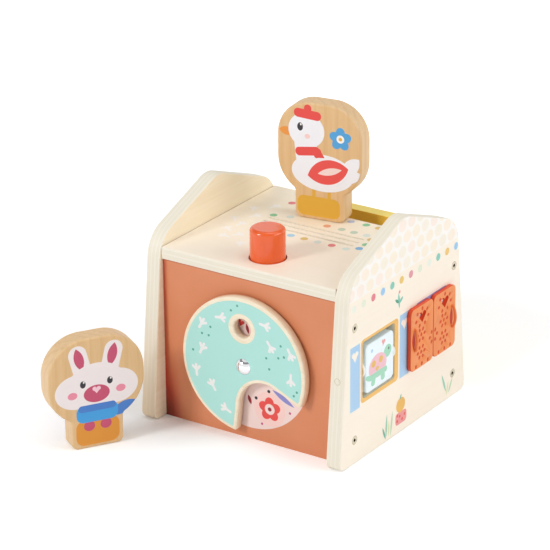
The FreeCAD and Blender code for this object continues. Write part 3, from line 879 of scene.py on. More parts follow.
@dataclass(frozen=True)
class FrontFinish(Finish):
    """Coral paint with a pink printed circle behind the disc."""

    disc_height: float = 60.0
    circle: float = 102.6
    top: float = 125.0
    half_width: float = 74.75
    outer_face: float = -72.0
    inner_face: float = -64.0
    facing: float = -62.0
    reach: float = 37.0

    def plant(self, turn: float, petal: Colour) -> list[Mark]:
        """Lists the marks of one flower on the circle.

        Args:
            turn: The quarter turn of the disc that shows it, in degrees.
            petal: Its petals' colour.

        Returns:
            Its marks.
        """
        facing = turn + self.facing
        marks = []
        for shape, lean, reach, tilt, tone, width, length in (
                (spot, 0, self.reach, 0, ink(249, 210, 203), 27.0, 27.0),
                (leaf, 26, 36.2, 125, INKS.violet, 4.0, 21.0),
                (leaf, -28, 29.0, 82, INKS.maroon, 2.8, 7.6),
                (spot, 14, 25.0, 0, INKS.black, 2.6, 2.6),
                (spot, -16, 27.0, 0, INKS.black, 2.6, 2.6),
                (spot, 20, 47.0, 0, INKS.magenta, 2.0, 2.0),
                (spot, -15, 47.0, 0, INKS.magenta, 2.0, 2.0),
                (partial(blossom, extra=5.0), 0, self.reach, 82, petal, 19.0, 19.0),
                (spot, 0, self.reach, 0, INKS.pink, 8.4, 8.4),
                (spot, 0, self.reach, 0, INKS.maroon, 3.2, 3.2)):
            angle = math.radians(facing + lean)
            v = self.disc_height + reach * math.sin(angle)
            marks.append(shape(tone, reach * math.cos(angle), v, width, length,
                               turn=facing + tilt))
        return marks

    def marks(self) -> tuple[Mark, ...]:
        """Lists the print: a flower for each quarter turn, and what the finger hole shows.

        Returns:
            The marks.
        """
        v = self.disc_height
        return (
            dot(INKS.pink, 0.0, v, self.circle),
            *self.plant(0, INKS.red), *self.plant(90, INKS.amber),
            *self.plant(180, INKS.blue), *self.plant(270, INKS.rose),
            dot(INKS.pink, -5.0, v + 27.0, 16.0),
            heart(INKS.red, -7.0, v + 29.6, 5.6, 5.4, turn=-20),
            leaf(INKS.maroon, -1.2, v + 26.6, 2.6, 8.0, turn=14),
        )

    def paint(self, coat: Coat) -> None:
        """Paints the board, with painted shade under the deck, along the left gable and in its
        lower left corner.

        Args:
            coat: The new material.
        """
        x, y, z = coat.split(coat.position)
        body = coat.mottle(0.02, INKS.coral, ink(217, 135, 92))
        art = coat.draw(body, coat.combine(x, z), self.marks())
        fold = x + self.half_width
        # Painted shade: darker along the left gable, and deeper still in the lower left corner,
        # darkest at the foot.
        for distance, low, high, share, shade in (
                (fold, 0.4, 5.0, 0.75, ink(176, 50, 28)),
                (coat.reach(fold, z * 0.3), 5.0, 19.5, 0.85, ink(170, 26, 10)),
                (coat.reach(fold, z * 0.7), 1.0, 20.0, 0.75, ink(96, 34, 16))):
            art = coat.mix(distance.ease(low, high, share, 0.0), art, shade)
        # Painted shade: a dark line under the deck's overhang.
        under = z.ease(self.top - 1.3, self.top - 0.2, 0.0, 0.75)
        art = coat.mix(under, art, INKS.coral_deep)
        colour = coat.mix(y.ease(self.outer_face - 0.3, self.outer_face, 1.0, 0.0), body, art)
        bare = y.ease(self.inner_face, self.inner_face + 0.3)
        coat.bump(coat.cloud(0.9, 3.0), depth=0.00006)
        coat.surface(coat.mix(bare, colour, INKS.ply_streak), roughness=0.44)


@dataclass(frozen=True)
class BackFinish(Finish):
    """Yellow paint, with painted shade: the face that looks into the house is a deeper yellow."""

    inner_face: float = 64.0

    def paint(self, coat: Coat) -> None:
        """Paints the board.

        Args:
            coat: The new material.
        """
        _, y, _ = coat.split(coat.position)
        body = coat.mottle(0.015, INKS.yellow, ink(250, 226, 110), 0.3, 0.75)
        # Painted shade: the face that looks into the house is a deeper yellow.
        inside = y.ease(self.inner_face + 0.2, self.inner_face + 0.7, 1.0, 0.0)
        coat.bump(coat.cloud(0.9, 3.0), depth=0.00005)
        coat.surface(coat.mix(inside, body, INKS.yellow_painted_shade), roughness=0.45)


@dataclass(frozen=True)
class PaintFinish(Finish):
    """Plain satin paint or plastic, a little uneven."""

    colour: Colour
    shade: Colour
    roughness: float
    coat_weight: float = 0.0
    texture: float = 0.9
    relief: float = 0.00005

    def paint(self, coat: Coat) -> None:
        """Paints the piece.

        Args:
            coat: The new material.
        """
        fine = coat.cloud(self.texture, 3.0)
        coat.bump(fine, self.relief)
        rough = fine.ease(0.3, 0.7, self.roughness - 0.03, self.roughness + 0.05)
        coat.surface(coat.mottle(0.05, self.colour, self.shade), rough,
                     Coat_Weight=self.coat_weight, Coat_Roughness=0.12)


DISC_MARKS = (
    *(track(ink(240, 240, 238), u, v, 6.6, 8.8, turn=turn) for u, v, turn in (
        (-18.8, 34.5, -80), (-35.6, 26.2, -30), (-35.6, 6.4, -25), (-41.0, -11.8, 5),
        (-27.0, -20.6, 32), (-15.6, -37.0, 65), (19.6, 36.6, -98), (24.0, 21.0, -145),
        (41.0, 19.0, -152), (41.2, -0.8, 180))),
    *(dot(ink(86, 168, 148), u, v, 1.9) for u, v in (
        (-4.3, 46.7), (-9.8, 42.0), (-28.0, 24.8), (-35.5, 18.2), (-29.6, 17.8), (-43.7, 3.3),
        (32.8, 24.0), (30.7, 14.2), (35.5, 16.0), (20.3, 11.7), (22.8, 3.6), (46.3, -8.9),
        (43.7, -12.3))),
)


@dataclass(frozen=True)
class DiscFinish(Finish):
    """A mint print inside a bare wooden rim, with footprints and dots."""

    height: float = 60.0
    radius: float = 53.2
    rim: float = 2.8
    blur: float = 0.12
    front: float = -80.7
    notch_u: float = 17.94
    notch_v: float = -31.67
    notch_radius: float = 22.0
    left_deg: float = 263.5
    right_deg: float = 335.7
    finger_u: float = -0.6
    finger_v: float = 29.6
    finger_ring: float = 11.4

    def past(self, distance: Number, limit: float) -> Number:
        """Returns 0 inside a limit and 1 past it, with a soft edge."""
        return distance.ease(limit - self.blur, limit + self.blur)

    def printed(self, coat: Coat, u: Number, v: Number) -> Number:
        """Masks the printed part of the face.

        Args:
            coat: The new material.
            u: Millimetres right of the bolt.
            v: Millimetres above the bolt.

        Returns:
            The mask.
        """
        clear = self.notch_radius + self.rim
        off = coat.combine(u - self.notch_u, v - self.notch_v)
        free = self.past(coat.measure("LENGTH", off), clear)
        apart = []
        for degrees, outward in ((self.left_deg, -90), (self.right_deg, 90)):
            run, out = (math.radians(turn) for turn in (degrees, degrees + outward))
            side = coat.measure("DOT_PRODUCT", off, (math.cos(out), math.sin(out), 0.0))
            apart.append(self.past(side, clear))
            along = coat.measure("DOT_PRODUCT", off, (math.cos(run), math.sin(run), 0.0))
            free = free * along.reckon("LESS_THAN", 0.0)
        inside = coat.reach(u, v).ease(self.radius - self.rim - self.blur,
                                       self.radius - self.rim + self.blur, 1.0, 0.0)
        finger = coat.reach(u - self.finger_u, v - self.finger_v)
        free = apart[0].at_least(apart[1]).at_least(free)
        return free * inside * self.past(finger, self.finger_ring)

    def paint(self, coat: Coat) -> None:
        """Paints the disc.

        Args:
            coat: The new material.
        """
        x, y, z = coat.split(coat.position)
        v = z - self.height
        tones = (ink(251, 238, 214), ink(247, 230, 200), ink(228, 204, 164))
        wood = coat.wood(Axis.X, 11.0, tones, 0.15)
        art = coat.draw(INKS.mint, coat.combine(x, v), DISC_MARKS)
        face = y.ease(self.front + 0.2, self.front + 0.5, 1.0, 0.0)
        mask = face * self.printed(coat, x, v)
        # Painted shade: the wooden wall turns tan towards the back, next to the board.
        wall = y.ease(self.front + 1.2, self.front + 7.0, 0.0, 0.55)
        coat.bump(coat.cloud(1.2, 3.0), depth=0.00004)
        coat.surface(coat.mix(wall, coat.mix(mask, wood, art), ink(196, 140, 92)),
                     mask.ease(0.0, 1.0, 0.52, 0.40))


TURTLE_MARKS = (
    spot(INKS.skin, 10.4, 5.0, 10.4, 9.6, turn=20),
    leaf(INKS.skin, -15.4, -7.4, 4.0, 9.0, turn=64),
    bar(INKS.skin, -8.6, -11.0, 5.4, 9.0, 2.4, turn=-14),
    bar(INKS.skin, 3.8, -11.0, 5.4, 9.0, 2.4, turn=12),
    spot(ink(240, 184, 196), -3.0, -1.6, 24.0, 18.4),
    bar(INKS.skin, -2.6, -8.2, 25.0, 4.6, 2.2),
    spot(INKS.amber, -8.4, 1.4, 5.6, 5.2),
    spot(INKS.amber, 1.4, 1.8, 5.6, 5.2),
    spot(INKS.amber, -3.4, -3.6, 4.2, 3.6),
    spot(INKS.black, 12.0, 6.4, 1.8, 2.4),
    heart(INKS.rose, 4.6, 13.4, 5.0, 5.0, turn=-12),
    dot(INKS.shutter, -10.6, 12.4, 2.8),
)

FISH_MARKS = (
    leaf(INKS.blue, -10.6, 1.6, 5.4, 11.0, turn=-42),
    leaf(INKS.blue, -10.6, -3.6, 5.4, 11.0, turn=42),
    leaf(INKS.blue, 1.6, -1.0, 14.4, 23.0, turn=90),
    spot(INKS.amber, 2.0, -1.0, 2.2, 9.0),
    dot(INKS.black, 8.0, 0.6, 1.6),
    dot(INKS.shutter, 9.0, 9.8, 2.6),
    dot(INKS.shutter, 12.4, 13.0, 1.6),
)


@dataclass(frozen=True)
class TileFinish(Finish):
    """The flip tile: a pale glossy print with a turtle on one side, a fish on the other."""

    centre_y: float = -35.9
    centre_z: float = 68.4
    face_x: float = 88.0
    back_x: float = 74.0

    def paint(self, coat: Coat) -> None:
        """Paints the tile.

        Args:
            coat: The new material.
        """
        x, y, z = coat.split(coat.position)
        u, v = y - self.centre_y, z - self.centre_z
        body = coat.mottle(0.05, ink(236, 250, 254), ink(230, 247, 251), 0.4)
        front = x.ease(self.face_x - 0.3, self.face_x - 0.1)
        back = x.ease(self.back_x + 0.1, self.back_x + 0.3, 1.0, 0.0)
        colour = coat.mix(front, body, coat.draw(body, coat.combine(u, v), TURTLE_MARKS))
        upside_down = coat.combine(u * -1.0, v * -1.0)
        colour = coat.mix(back, colour, coat.draw(body, upside_down, FISH_MARKS))
        coat.bump(coat.cloud(0.5), depth=0.00003)
        coat.surface(colour, roughness=0.2, Coat_Weight=0.5, Coat_Roughness=0.06)


@dataclass(frozen=True)
class FigureFinish(Finish):
    """A thick wooden animal block, printed on both faces.

    foot and turn_deg say where the block stands, as its solid does; marks are
    in millimetres from the middle of its foot.
    """

    foot: Place
    turn_deg: float
    marks: tuple[Mark, ...]
    half_thickness: float = 7.75
    rings: float = 9.0
    warmth: float = 0.3

    def paint(self, coat: Coat) -> None:
        """Paints the block in its own directions.

        Args:
            coat: The new material.
        """
        turned = (0.0, 0.0, math.radians(self.turn_deg))
        seat = {"Vector": coat.position, "Location": self.foot, "Rotation": turned}
        coat.position = coat.add("ShaderNodeMapping", seat, vector_type="TEXTURE").outputs[0]
        u, depth, v = coat.split(coat.position)
        tones = (ink(230, 196, 150), ink(224, 187, 139), ink(208, 166, 116))
        wood = coat.wood(Axis.Z, self.rings, tones, 0.3)
        warm = coat.mix(self.warmth, wood, ink(230, 178, 108))
        art = coat.draw(warm, coat.combine(u, v), self.marks)
        face = abs(depth).ease(self.half_thickness - 0.4, self.half_thickness - 0.2)
        coat.bump(coat.grain(Axis.Z, self.rings)["Streaks"], depth=0.00004)
        coat.surface(coat.mix(face, wood, art), roughness=0.46)


DUCK_MARKS = (
    bar(INKS.amber, -4.5, 22.0, 2.6, 14.0, 1.2),
    bar(INKS.amber, 8.0, 22.0, 2.6, 14.0, 1.2),
    bar(INKS.amber, -0.6, 10.4, 34.5, 15.6, 5.4),
    leaf(INKS.down, 25.2, 45.0, 11.0, 20.0, turn=-42),
    leaf(INKS.down, 25.8, 37.6, 9.0, 17.0, turn=-66),
    spot(INKS.down, 2.6, 37.5, 50.0, 29.0),
    bar(INKS.down, -10.6, 54.0, 18.0, 30.0, 8.8, turn=6),
    leaf(ink(238, 150, 60), -26.0, 66.6, 6.6, 13.0, turn=84),
    spot(INKS.down, -10.4, 69.0, 29.0, 27.0),
    bar(INKS.red, -9.4, 81.6, 22.0, 7.0, 3.4, turn=-4),
    dot(INKS.red, -9.2, 86.2, 6.0),
    spot(INKS.black, -15.4, 71.4, 4.6, 6.4),
    spot(INKS.white, -14.8, 73.2, 1.3, 1.7),
    spot(ink(250, 210, 206), -9.6, 64.6, 4.4, 3.6),
    bar(INKS.red, -9.4, 53.0, 20.0, 6.8, 3.2, turn=8),
    heart(INKS.red, 0.6, 51.4, 8.0, 8.4, turn=64),
    leaf(ink(236, 80, 74), 7.0, 38.8, 19.0, 34.0, turn=-74),
    leaf(ink(250, 222, 216), 8.4, 39.4, 5.4, 20.0, turn=-74),
    blossom(ink(78, 164, 222), 17.0, 66.0, 18.0, 18.0, 5.0, turn=18),
    dot(INKS.white, 17.0, 66.0, 6.2),
    dot(INKS.amber, 17.0, 66.0, 2.8),
)

RABBIT_MARKS = (
    bar(ink(227, 149, 46), 0.0, 12.6, 33.5, 20.0, 6.4),
    *pair(spot(INKS.rose_pink, -6.4, 17.6, 8.6, 8.0)),
    *pair(bar(INKS.fleece, -12.4, 69.0, 14.0, 26.0, 6.9, turn=14)),
    *pair(leaf(INKS.rose_pink, -12.8, 71.0, 7.4, 18.0, turn=14)),
    *pair(spot(INKS.fleece, -15.0, 46.0, 34.0, 27.0)),
    spot(INKS.fleece, 0.0, 48.5, 46.0, 36.0),
    *pair(spot(INKS.black, -10.4, 51.0, 4.4, 5.6)),
    spot(INKS.white, -9.7, 52.6, 1.3, 1.6),
    spot(INKS.white, 11.1, 52.6, 1.3, 1.6),
    spot(INKS.rose_pink, 0.0, 42.4, 20.0, 13.6),
    heart(ink(248, 206, 216), 0.0, 45.2, 6.4, 5.4),
    *pair(spot(ink(238, 142, 164), -18.6, 43.4, 7.4, 5.6)),
    leaf(ink(68, 126, 204), 20.0, 27.6, 9.0, 21.0, turn=-66),
    bar(ink(62, 160, 226), 0.0, 27.4, 32.0, 13.6, 5.4),
    bar(ink(68, 126, 204), 0.0, 31.6, 29.0, 5.4, 2.6),
)


@dataclass(frozen=True)
class DoorFinish(Finish):
    """Orange paint on a door's faces, deep red on its edges and in its cuts, and a painted shadow
    beside each elastic cord.
    """

    face: float = 90.8
    back: float = 87.3
    cord_shadow_places: Pair = (6.0, 59.4)
    cord_shadow_height: float = 69.5
    cord_shadow_half_height: float = 8.0
    cord_shadow_width: float = 2.3

    def paint(self, coat: Coat) -> None:
        """Paints both doors.

        Args:
            coat: The new material.
        """
        x, y, z = coat.split(coat.position)
        body = coat.mottle(0.06, INKS.door, ink(239, 141, 79))
        front = x.ease(self.face - 0.40, self.face - 0.12)
        rear = x.ease(self.back + 0.02, self.back + 0.12, 1.0, 0.0)
        inner = coat.mix(x.ease(self.face - 0.9, self.face - 0.7), INKS.cut, INKS.engraved)
        # Painted shadow: a dark red crescent on the front face beside each elastic cord.
        rise = (z - self.cord_shadow_height) / self.cord_shadow_half_height
        bow = (rise * rise).reckon("MULTIPLY_ADD", -self.cord_shadow_width, self.cord_shadow_width)
        one, other = (abs(y - cord_shadow) for cord_shadow in self.cord_shadow_places)
        cord_shadow = (bow - one.at_most(other)).ease(-0.2, 0.9)
        body = coat.mix(cord_shadow * front, body, INKS.cord_shadow)
        coat.bump(coat.cloud(0.9, 3.0), depth=0.00005)
        colour = coat.mix(front.at_least(rear), inner, body)
        coat.surface(colour, roughness=0.42, Specular_IOR_Level=0.3)


@dataclass(frozen=True)
class MetalFinish(Finish):
    """Bare metal with fine uneven polish."""

    colour: Colour
    shade: Colour
    smooth: float
    rough: float

    def paint(self, coat: Coat) -> None:
        """Paints the piece.

        Args:
            coat: The new material.
        """
        haze = coat.cloud(1.4, 3.0)
        coat.surface(coat.mix(haze.ease(0.35, 0.7), self.colour, self.shade),
                     haze.ease(0.3, 0.7, self.smooth, self.rough), Metallic=1.0)


@dataclass(frozen=True)
class ScrewFinish(Finish):
    """Pale zinc plating on the screws' heads, with painted shade, near black, in their recesses and
    round their rims.
    """

    face: float = 87.0
    recess: float = 0.5

    def paint(self, coat: Coat) -> None:
        """Paints the screws.

        Args:
            coat: The new material.
        """
        x, _, _ = coat.split(coat.position)
        haze = coat.cloud(1.4, 3.0)
        plate = coat.mix(haze.ease(0.35, 0.7), ink(212, 202, 180), ink(178, 168, 146))
        # Painted shade: near black in the cross recess and round the lower rim of each head.
        deep = abs(x).ease(self.face - self.recess, self.face - self.recess * 0.3, 1.0, 0.0)
        coat.surface(coat.mix(deep, plate, ink(58, 50, 42)), haze.ease(0.3, 0.7, 0.34, 0.46),
                     Metallic=0.9)


@dataclass(frozen=True)
class ElasticFinish(Finish):
    """Woven orange elastic."""

    slant: float = 5.2
    twist: float = 9.0
    contrast: float = 0.6

    def paint(self, coat: Coat) -> None:
        """Paints the ties.

        Args:
            coat: The new material.
        """
        x, y, z = coat.split(coat.position)
        turns = z * self.slant + x * self.slant + y * self.twist
        weave = turns.reckon("SINE").reckon("MULTIPLY_ADD", 0.5, 0.5)
        coat.bump(weave, depth=0.00012)
        colour = coat.mix(weave * self.contrast, ink(252, 142, 78), ink(232, 106, 54))
        coat.surface(colour, roughness=0.7)


@dataclass(frozen=True)
class PlugFinish(Finish):
    """The pale end of the axle's plug, with a darker line of glue round it."""

    centre: Place = (81.0, 0.0, 68.4)
    radius: float = 2.5

    def paint(self, coat: Coat) -> None:
        """Paints the plug.

        Args:
            coat: The new material.
        """
        off = coat.vector("SUBTRACT", coat.position, self.centre)
        reach = coat.measure("LENGTH", coat.vector("MULTIPLY", off, (1.0, 0.0, 1.0)))
        ring = reach.ease(self.radius - 0.55, self.radius - 0.25)
        wood = coat.wood(Axis.Y, 5.0, (INKS.ply_edge, INKS.ply_cross, INKS.ply_glue), 0.3)
        coat.surface(coat.mix(ring, wood, ink(212, 200, 170)), roughness=0.55)


BEECH_TONES = (ink(236, 206, 160), ink(224, 188, 140), ink(196, 150, 104))
beech = partial(WoodFinish, rings=7.0, tones=BEECH_TONES, share=0.4, roughness=(0.5, 0.5))
STEEL = MetalFinish("zinc_steel", ink(206, 200, 186), ink(182, 176, 160), 0.3, 0.42)
SPRING_STEEL = MetalFinish("spring_steel", ink(196, 196, 200), ink(170, 170, 176), 0.2, 0.32)
CHROME = MetalFinish("chrome_cap", ink(238, 238, 240), ink(230, 230, 234), 0.06, 0.12)
PLASTIC = PaintFinish("white_plastic", ink(240, 240, 236), ink(232, 232, 228), 0.35)
LACQUER = PaintFinish("orange_lacquer", INKS.button, ink(236, 88, 14), 0.22, 0.4, 0.3, 0.00001)


def dress(found: dict, finish: Finish, *names: str) -> None:
    """Gives CAD nodes a new material.

    Args:
        found: The frame's nodes by name.
        finish: How they are to look.
        names: The nodes' names.
    """
    material = finish.make()
    for name in names:
        piece = found[name]
        if not piece.material_slots:
            piece.data.materials.append(material)
        for slot in piece.material_slots:
            slot.material = material
        log.info("%s: %s", name, material.name)


def clear_selection() -> None:
    """Deselects everything, so that an operator acts on nothing else."""
    bpy.ops.object.select_all(action="DESELECT")


def take(*pieces: Piece) -> None:
    """Selects only these objects and makes the first the active one.

    Args:
        pieces: The objects.
    """
    clear_selection()
    for piece in pieces:
        piece.select_set(True)
    bpy.context.view_layer.objects.active = pieces[0]


def copy_piece(piece: Piece, name: str) -> Piece:
    """Copies a piece's mesh into a new object at the origin.

    Args:
        piece: The piece, which stays as it is.
        name: The new object's name.

    Returns:
        The new object.
    """
    copy = bpy.data.objects.new(name, piece.data.copy())
    bpy.context.collection.objects.link(copy)
    return copy


@dataclass
class House:
    """The six boards, their fasteners and what is fixed inside them."""

    nodes: dict

    def dress(self) -> None:
        """Paints every fixed node of the house."""
        paint = partial(dress, self.nodes)
        paint(GableFinish("gable_right", Side.RIGHT, WINDOW_MARKS), "right_side_board")
        paint(GableFinish("gable_left", Side.LEFT, MEADOW_MARKS), "left_side_board")
        paint(DeckFinish("deck_print"), "top_deck")
        paint(FrontFinish("coral_paint"), "front_board")
        paint(BackFinish("yellow_paint"), "back_board")
        paint(WoodFinish("birch_x", Axis.X), "bottom_board", "chute_front_wall", "spring_shelf")
        paint(WoodFinish("birch_y", Axis.Y), "chute_left_wall", "chute_right_wall")
        paint(beech("beech_z", Axis.Z), "board_dowels", "left_pivot_bracket", "right_pivot_bracket")
        paint(PlugFinish("plug_end"), "axle_plug")
        paint(ScrewFinish("screw_zinc"), "left_screws", "right_screws")
        paint(STEEL, "pivot_pin", "disc_washer", "disc_nut")
        paint(CHROME, "disc_bolt")
        paint(PLASTIC, "disc_spacer", "tile_bushes")
        paint(STEEL, "tile_axle")


@dataclass
class Works:
    """The disc, the button and what it moves, and the tile."""

    nodes: dict
    joints: list

    def dress(self) -> None:
        """Paints the moving pieces other than the doors and the figures."""
        paint = partial(dress, self.nodes)
        paint(DiscFinish("mint_print"), "turning_disc")
        paint(LACQUER, "push_button")
        paint(beech("beech_x", Axis.X), "button_plate", "button_stem", "rocker_kicker")
        paint(WoodFinish("birch_y", Axis.Y, 18.0), "rocker_board", "pop_up_tray")
        paint(TileFinish("tile_print"), "flip_tile")
        self.coil()

    def coil(self) -> Piece:
        """Copies the spring in spring steel and hangs it on the house.

        Returns:
            The spring.
        """
        travel = next(joint["range_m"][1] for joint in self.joints
                      if joint["name"] == "button_press")
        coil = copy_piece(self.nodes["return_spring"], "return_spring_coil")
        coil.data.materials.clear()
        coil.data.materials.append(SPRING_STEEL.make())
        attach(coil, "house")
        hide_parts("return_spring")
        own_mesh(coil)
        return coil


@dataclass
class Doors:
    """The two small doors with their engraved pattern, and the elastic ties."""

    nodes: dict
    face: float = 0.0908
    middle: float = 0.034
    half_width: float = 0.01605
    heart_height: float = 0.0845
    heart_ring: Pair = (0.0086, 0.0066)
    eye_heights: Pair = (0.0708, 0.0570)
    eye_ring: Pair = (0.0047, 0.0045)
    eye_shift: float = 0.0012
    star_height: float = 0.0636
    star_ring: Pair = (0.0051, 0.0044)
    star_turns: Place = (0.0, 60.0, -60.0)
    foot_height: float = 0.0474
    foot_pitch: float = 0.0084
    dash_length: float = 0.0036
    dash_width: float = 0.0029
    dash_depth: float = 0.00065
    merge: float = 0.000002
    smooth_deg: float = 32.0

    @staticmethod
    def ring(centre: Pair, half: Pair, count: int, start: float = 0.0) -> list[Place]:
        """Lists dashes that stand in an oval ring and point outwards.

        Args:
            centre: The ring's Y and Z.
            half: Its half width and half height.
            count: How many dashes.
            start: How far round the first one is, in steps.

        Returns:
            Each dash's Y, Z and turn, in metres and radians.
        """
        angles = [math.tau * (step + start) / count for step in range(count)]
        return [(centre[0] + half[0] * math.cos(angle), centre[1] + half[1] * math.sin(angle),
                 angle) for angle in angles]

    def dashes(self, side: int) -> list[Place]:
        """Lists the dashes of one door.

        Args:
            side: -1 for the front door, 1 for the rear one.

        Returns:
            Each dash's Y, Z and turn, in metres and radians.
        """
        centre = self.middle + side * self.half_width
        upright = math.pi / 2
        found = self.ring((centre, self.heart_height), self.heart_ring, count=7, start=0.75)
        for height in self.eye_heights:
            eye = (centre - self.eye_shift, height)
            found += [(*eye, upright), *self.ring(eye, self.eye_ring, count=6)]
        wide, high = self.star_ring
        for turn in map(math.radians, self.star_turns):
            found.append((self.middle + side * wide * math.cos(turn),
                          self.star_height + high * math.sin(turn), side * turn))
        for step in (-1, 0, 1):
            found.append((centre + step * self.foot_pitch, self.foot_height, upright))
        return found

    def cutter(self, side: int) -> Piece:
        """Models one dash and copies it to every place on a door.

        Args:
            side: Which door.

        Returns:
            All the dashes as one object.
        """
        clear_selection()
        bpy.ops.mesh.primitive_uv_sphere_add(segments=12, ring_count=8, radius=0.5)
        first = bpy.context.active_object
        bpy.ops.object.mode_set(mode="EDIT")
        bpy.ops.transform.resize(value=(2 * self.dash_depth, self.dash_length, self.dash_width))
        bpy.ops.object.mode_set(mode="OBJECT")
        copies = []
        for y, z, angle in self.dashes(side):
            copies.append(copy_piece(first, "dash"))
            place = Matrix.Translation((self.face, y, z)) @ Matrix.Rotation(angle, 4, "X")
            copies[-1].data.transform(place)
        bpy.data.objects.remove(first)
        take(*copies)
        bpy.ops.object.join()
        return bpy.context.active_object

    def carve(self, node: str, side: int, body: str) -> Piece:
        """Engraves one door.

        Args:
            node: The door's CAD node, which stays for collision.
            side: Which door.
            body: The body it rides on.

        Returns:
            The engraved door.
        """
        door = copy_piece(self.nodes[node], node + "_engraved")
        take(door)
        bpy.ops.object.mode_set(mode="EDIT")
        bpy.ops.mesh.select_all(action="SELECT")
        bpy.ops.mesh.remove_doubles(threshold=self.merge)
        bpy.ops.object.mode_set(mode="OBJECT")
        cutter = self.cutter(side)
        take(door)
        carving = door.modifiers.new("dashes", "BOOLEAN")
        carving.operation = "DIFFERENCE"
        carving.solver = "EXACT"
        carving.object = cutter
        bpy.ops.object.modifier_apply(modifier=carving.name)
        bpy.data.objects.remove(cutter)
        bpy.ops.object.shade_smooth_by_angle(angle=math.radians(self.smooth_deg))
        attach(door, body)
        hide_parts(node)
        log.info("%s: %d faces", door.name, len(door.data.polygons))
        return door

    def build(self) -> None:
        """Makes both doors and paints them and their ties."""
        paint = DoorFinish("door_paint").make()
        for node, side, body in (("front_leaf", -1, "front_door"), ("rear_leaf", 1, "rear_door")):
            door = self.carve(node, side, body)
            door.data.materials.clear()
            door.data.materials.append(paint)
        dress(self.nodes, ElasticFinish("orange_elastic"), "front_tie_ends", "rear_tie_ends",
              "front_leaf_tie", "rear_leaf_tie")


@dataclass
class Figures:
    """The duck that pops up and the rabbit that waits beside the house."""

    nodes: dict

    def dress(self) -> None:
        """Paints both blocks."""
        duck = FigureFinish("duck_wood", (-7.8, 39.0, 134.5), 8.0, DUCK_MARKS)
        rabbit = FigureFinish("rabbit_wood", (-91.3, -139.4, 0.0), 58.0, RABBIT_MARKS)
        dress(self.nodes, duck, "duck_figure")
        dress(self.nodes, rabbit, "rabbit_figure")


@dataclass(frozen=True)
class PaperFinish(Finish):
    """Studio paper, which looks lighter away from the toy.

    Each glow is a distance where it begins, one where it is full, and its
    strength there.
    """

    near_glow: Place = (170.0, 300.0, 0.4)
    far_glow: Place = (300.0, 1200.0, 0.3)
    side_glow: Place = (60.0, 130.0, 0.5)
    foot_glow: Place = (25.0, 100.0, 0.26)
    foot: Place = (-88.0, -70.0, 0.0)

    @staticmethod
    def glow(distance: Number, band: Place) -> Number:
        """Returns how strongly one glow shows at a distance."""
        return distance.ease(band[0], band[1], 0.0, band[2])

    def paint(self, coat: Coat) -> None:
        """Paints the floor, whose glow only looking rays see.

        Args:
            coat: The new material.
        """
        rays = coat.add("ShaderNodeLightPath").outputs
        seen = coat.math("MAXIMUM", rays["Is Glossy Ray"], rays["Is Transmission Ray"])
        x, _, _ = coat.split(coat.position)
        away = coat.measure("LENGTH", coat.position)
        beside = coat.measure("LENGTH", coat.vector("SUBTRACT", coat.position, self.foot))
        lift = self.glow(away, self.near_glow) + self.glow(away, self.far_glow)
        lift = lift.at_least(self.glow(x, self.side_glow))
        lift = lift.at_least(self.glow(beside, self.foot_glow))
        glow = lift * seen.at_least(rays["Is Camera Ray"])
        colour = coat.mottle(0.004, ink(252, 252, 252), ink(250, 250, 251), 0.3)
        coat.surface(colour, roughness=0.9, Specular_IOR_Level=0.0,
                     Emission_Color=coat.combine(glow, glow, glow), Emission_Strength=1.0)


@dataclass(frozen=True)
class Lamp:
    """A square soft lamp that points at the toy: its place, its side and its power."""

    name: str
    place: Place
    size: float
    watts: float
    target: Place = (0.0, 0.0, 0.08)

    def hang(self) -> None:
        """Hangs the lamp."""
        bpy.ops.object.light_add(type="AREA", location=self.place)
        lamp = bpy.context.active_object
        lamp.name = self.name
        lamp.data.size = self.size
        lamp.data.energy = self.watts
        aim = Vector(self.target) - Vector(self.place)
        lamp.rotation_euler = aim.to_track_quat("-Z", "Y").to_euler()


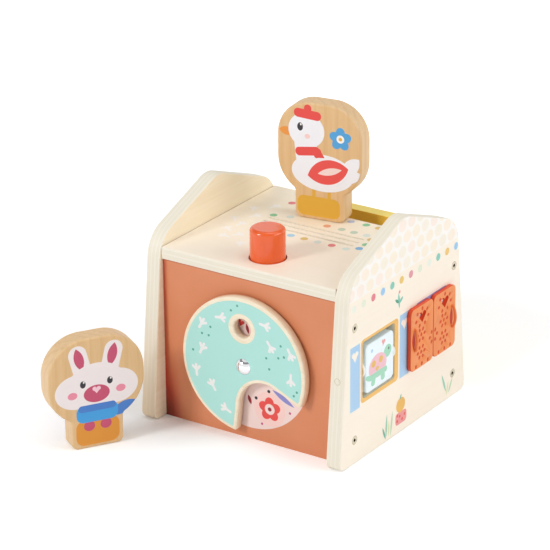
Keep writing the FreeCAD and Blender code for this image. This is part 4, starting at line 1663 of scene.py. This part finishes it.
@dataclass
class Studio:
    """The floor, the lamps, the world and the camera."""

    floor_radius: float = 9.0
    camera_place: Place = (1.1040, -1.6829, 0.9428)
    camera_azimuth: float = 33.872
    camera_elevation: float = 22.640
    camera_roll: float = -0.506
    lens_mm: float = 194.4
    sensor_mm: float = 36.0
    clip: Pair = (0.05, 40.0)
    world_strength: float = 0.45
    ceiling: float = 0.3
    crown: float = 0.9
    ceiling_band: Pair = (-0.58, -0.40)
    crown_band: Pair = (-0.84, -0.74)
    lamps: tuple[Lamp, ...] = (
        Lamp("key_softbox", (-1.0, -2.11, 1.35), 0.6, 25.5),
        Lamp("side_softbox", (2.25, 0.55, 1.35), 1.8, 23.5),
        Lamp("top_softbox", (0.5, 0.2, 2.6), 1.4, 11.0))

    def floor(self) -> Piece:
        """Lays the pale floor, which keeps the toy's shadow.

        Returns:
            The floor object.
        """
        clear_selection()
        bpy.ops.mesh.primitive_circle_add(vertices=96, radius=self.floor_radius,
                                          fill_type="NGON")
        floor = bpy.context.active_object
        floor.name = "studio_floor"
        bpy.ops.object.mode_set(mode="EDIT")
        bpy.ops.mesh.inset(thickness=self.floor_radius / 2)
        bpy.ops.object.mode_set(mode="OBJECT")
        floor.data.materials.append(PaperFinish("studio_paper").make())
        return floor

    def world(self) -> None:
        """Lights from all round, and shows plain white behind everything."""
        world = bpy.data.worlds.new("studio_world")
        world.use_nodes = True
        bpy.context.scene.world = world
        bench = Bench(world.node_tree)
        background = world.node_tree.nodes["Background"]
        rays = bench.add("ShaderNodeLightPath").outputs
        _, _, down = bench.split(bench.add("ShaderNodeNewGeometry").outputs["Incoming"])
        dim, wall, top = (level - self.world_strength
                          for level in (self.ceiling, 1.0, self.crown))
        mirror = down.ease(*self.ceiling_band, dim, wall)
        mirror = mirror.at_least(down.ease(*self.crown_band, top, dim))
        mirrored = bench.math("MULTIPLY_ADD", rays["Is Glossy Ray"], mirror, self.world_strength)
        seen = bench.math("MAXIMUM", rays["Is Camera Ray"], rays["Is Transmission Ray"])
        bench.feed(background.inputs["Color"], (1.0, 1.0, 1.0, 1.0))
        bench.feed(background.inputs["Strength"], seen * wall + mirrored)

    def camera(self) -> None:
        """Sets the camera at its viewing angle."""
        data = bpy.data.cameras.new("studio_camera")
        data.lens = self.lens_mm
        data.sensor_width = self.sensor_mm
        data.clip_start, data.clip_end = self.clip
        camera = bpy.data.objects.new("studio_camera", data)
        bpy.context.collection.objects.link(camera)
        pose = Matrix.Translation(self.camera_place)
        for degrees, axis in ((self.camera_azimuth, "Z"), (90.0 - self.camera_elevation, "X"),
                              (self.camera_roll, "Z")):
            pose @= Matrix.Rotation(math.radians(degrees), 4, axis)
        camera.matrix_world = pose
        bpy.context.scene.camera = camera

    def build(self) -> None:
        """Sets up everything round the toy."""
        self.camera()
        self.floor()
        self.world()
        for lamp in self.lamps:
            lamp.hang()
        bpy.context.scene.view_settings.view_transform = "Standard"


def main() -> None:
    """Builds the toy's looks in order and reports each piece."""
    logging.basicConfig(level=logging.INFO, format="%(name)s: %(message)s")
    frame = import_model()
    nodes = frame["nodes"]
    Studio().build()
    House(nodes).dress()
    Works(nodes, frame["joints"]).dress()
    Doors(nodes).build()
    Figures(nodes).dress()


if __name__ == "__main__":
    main()
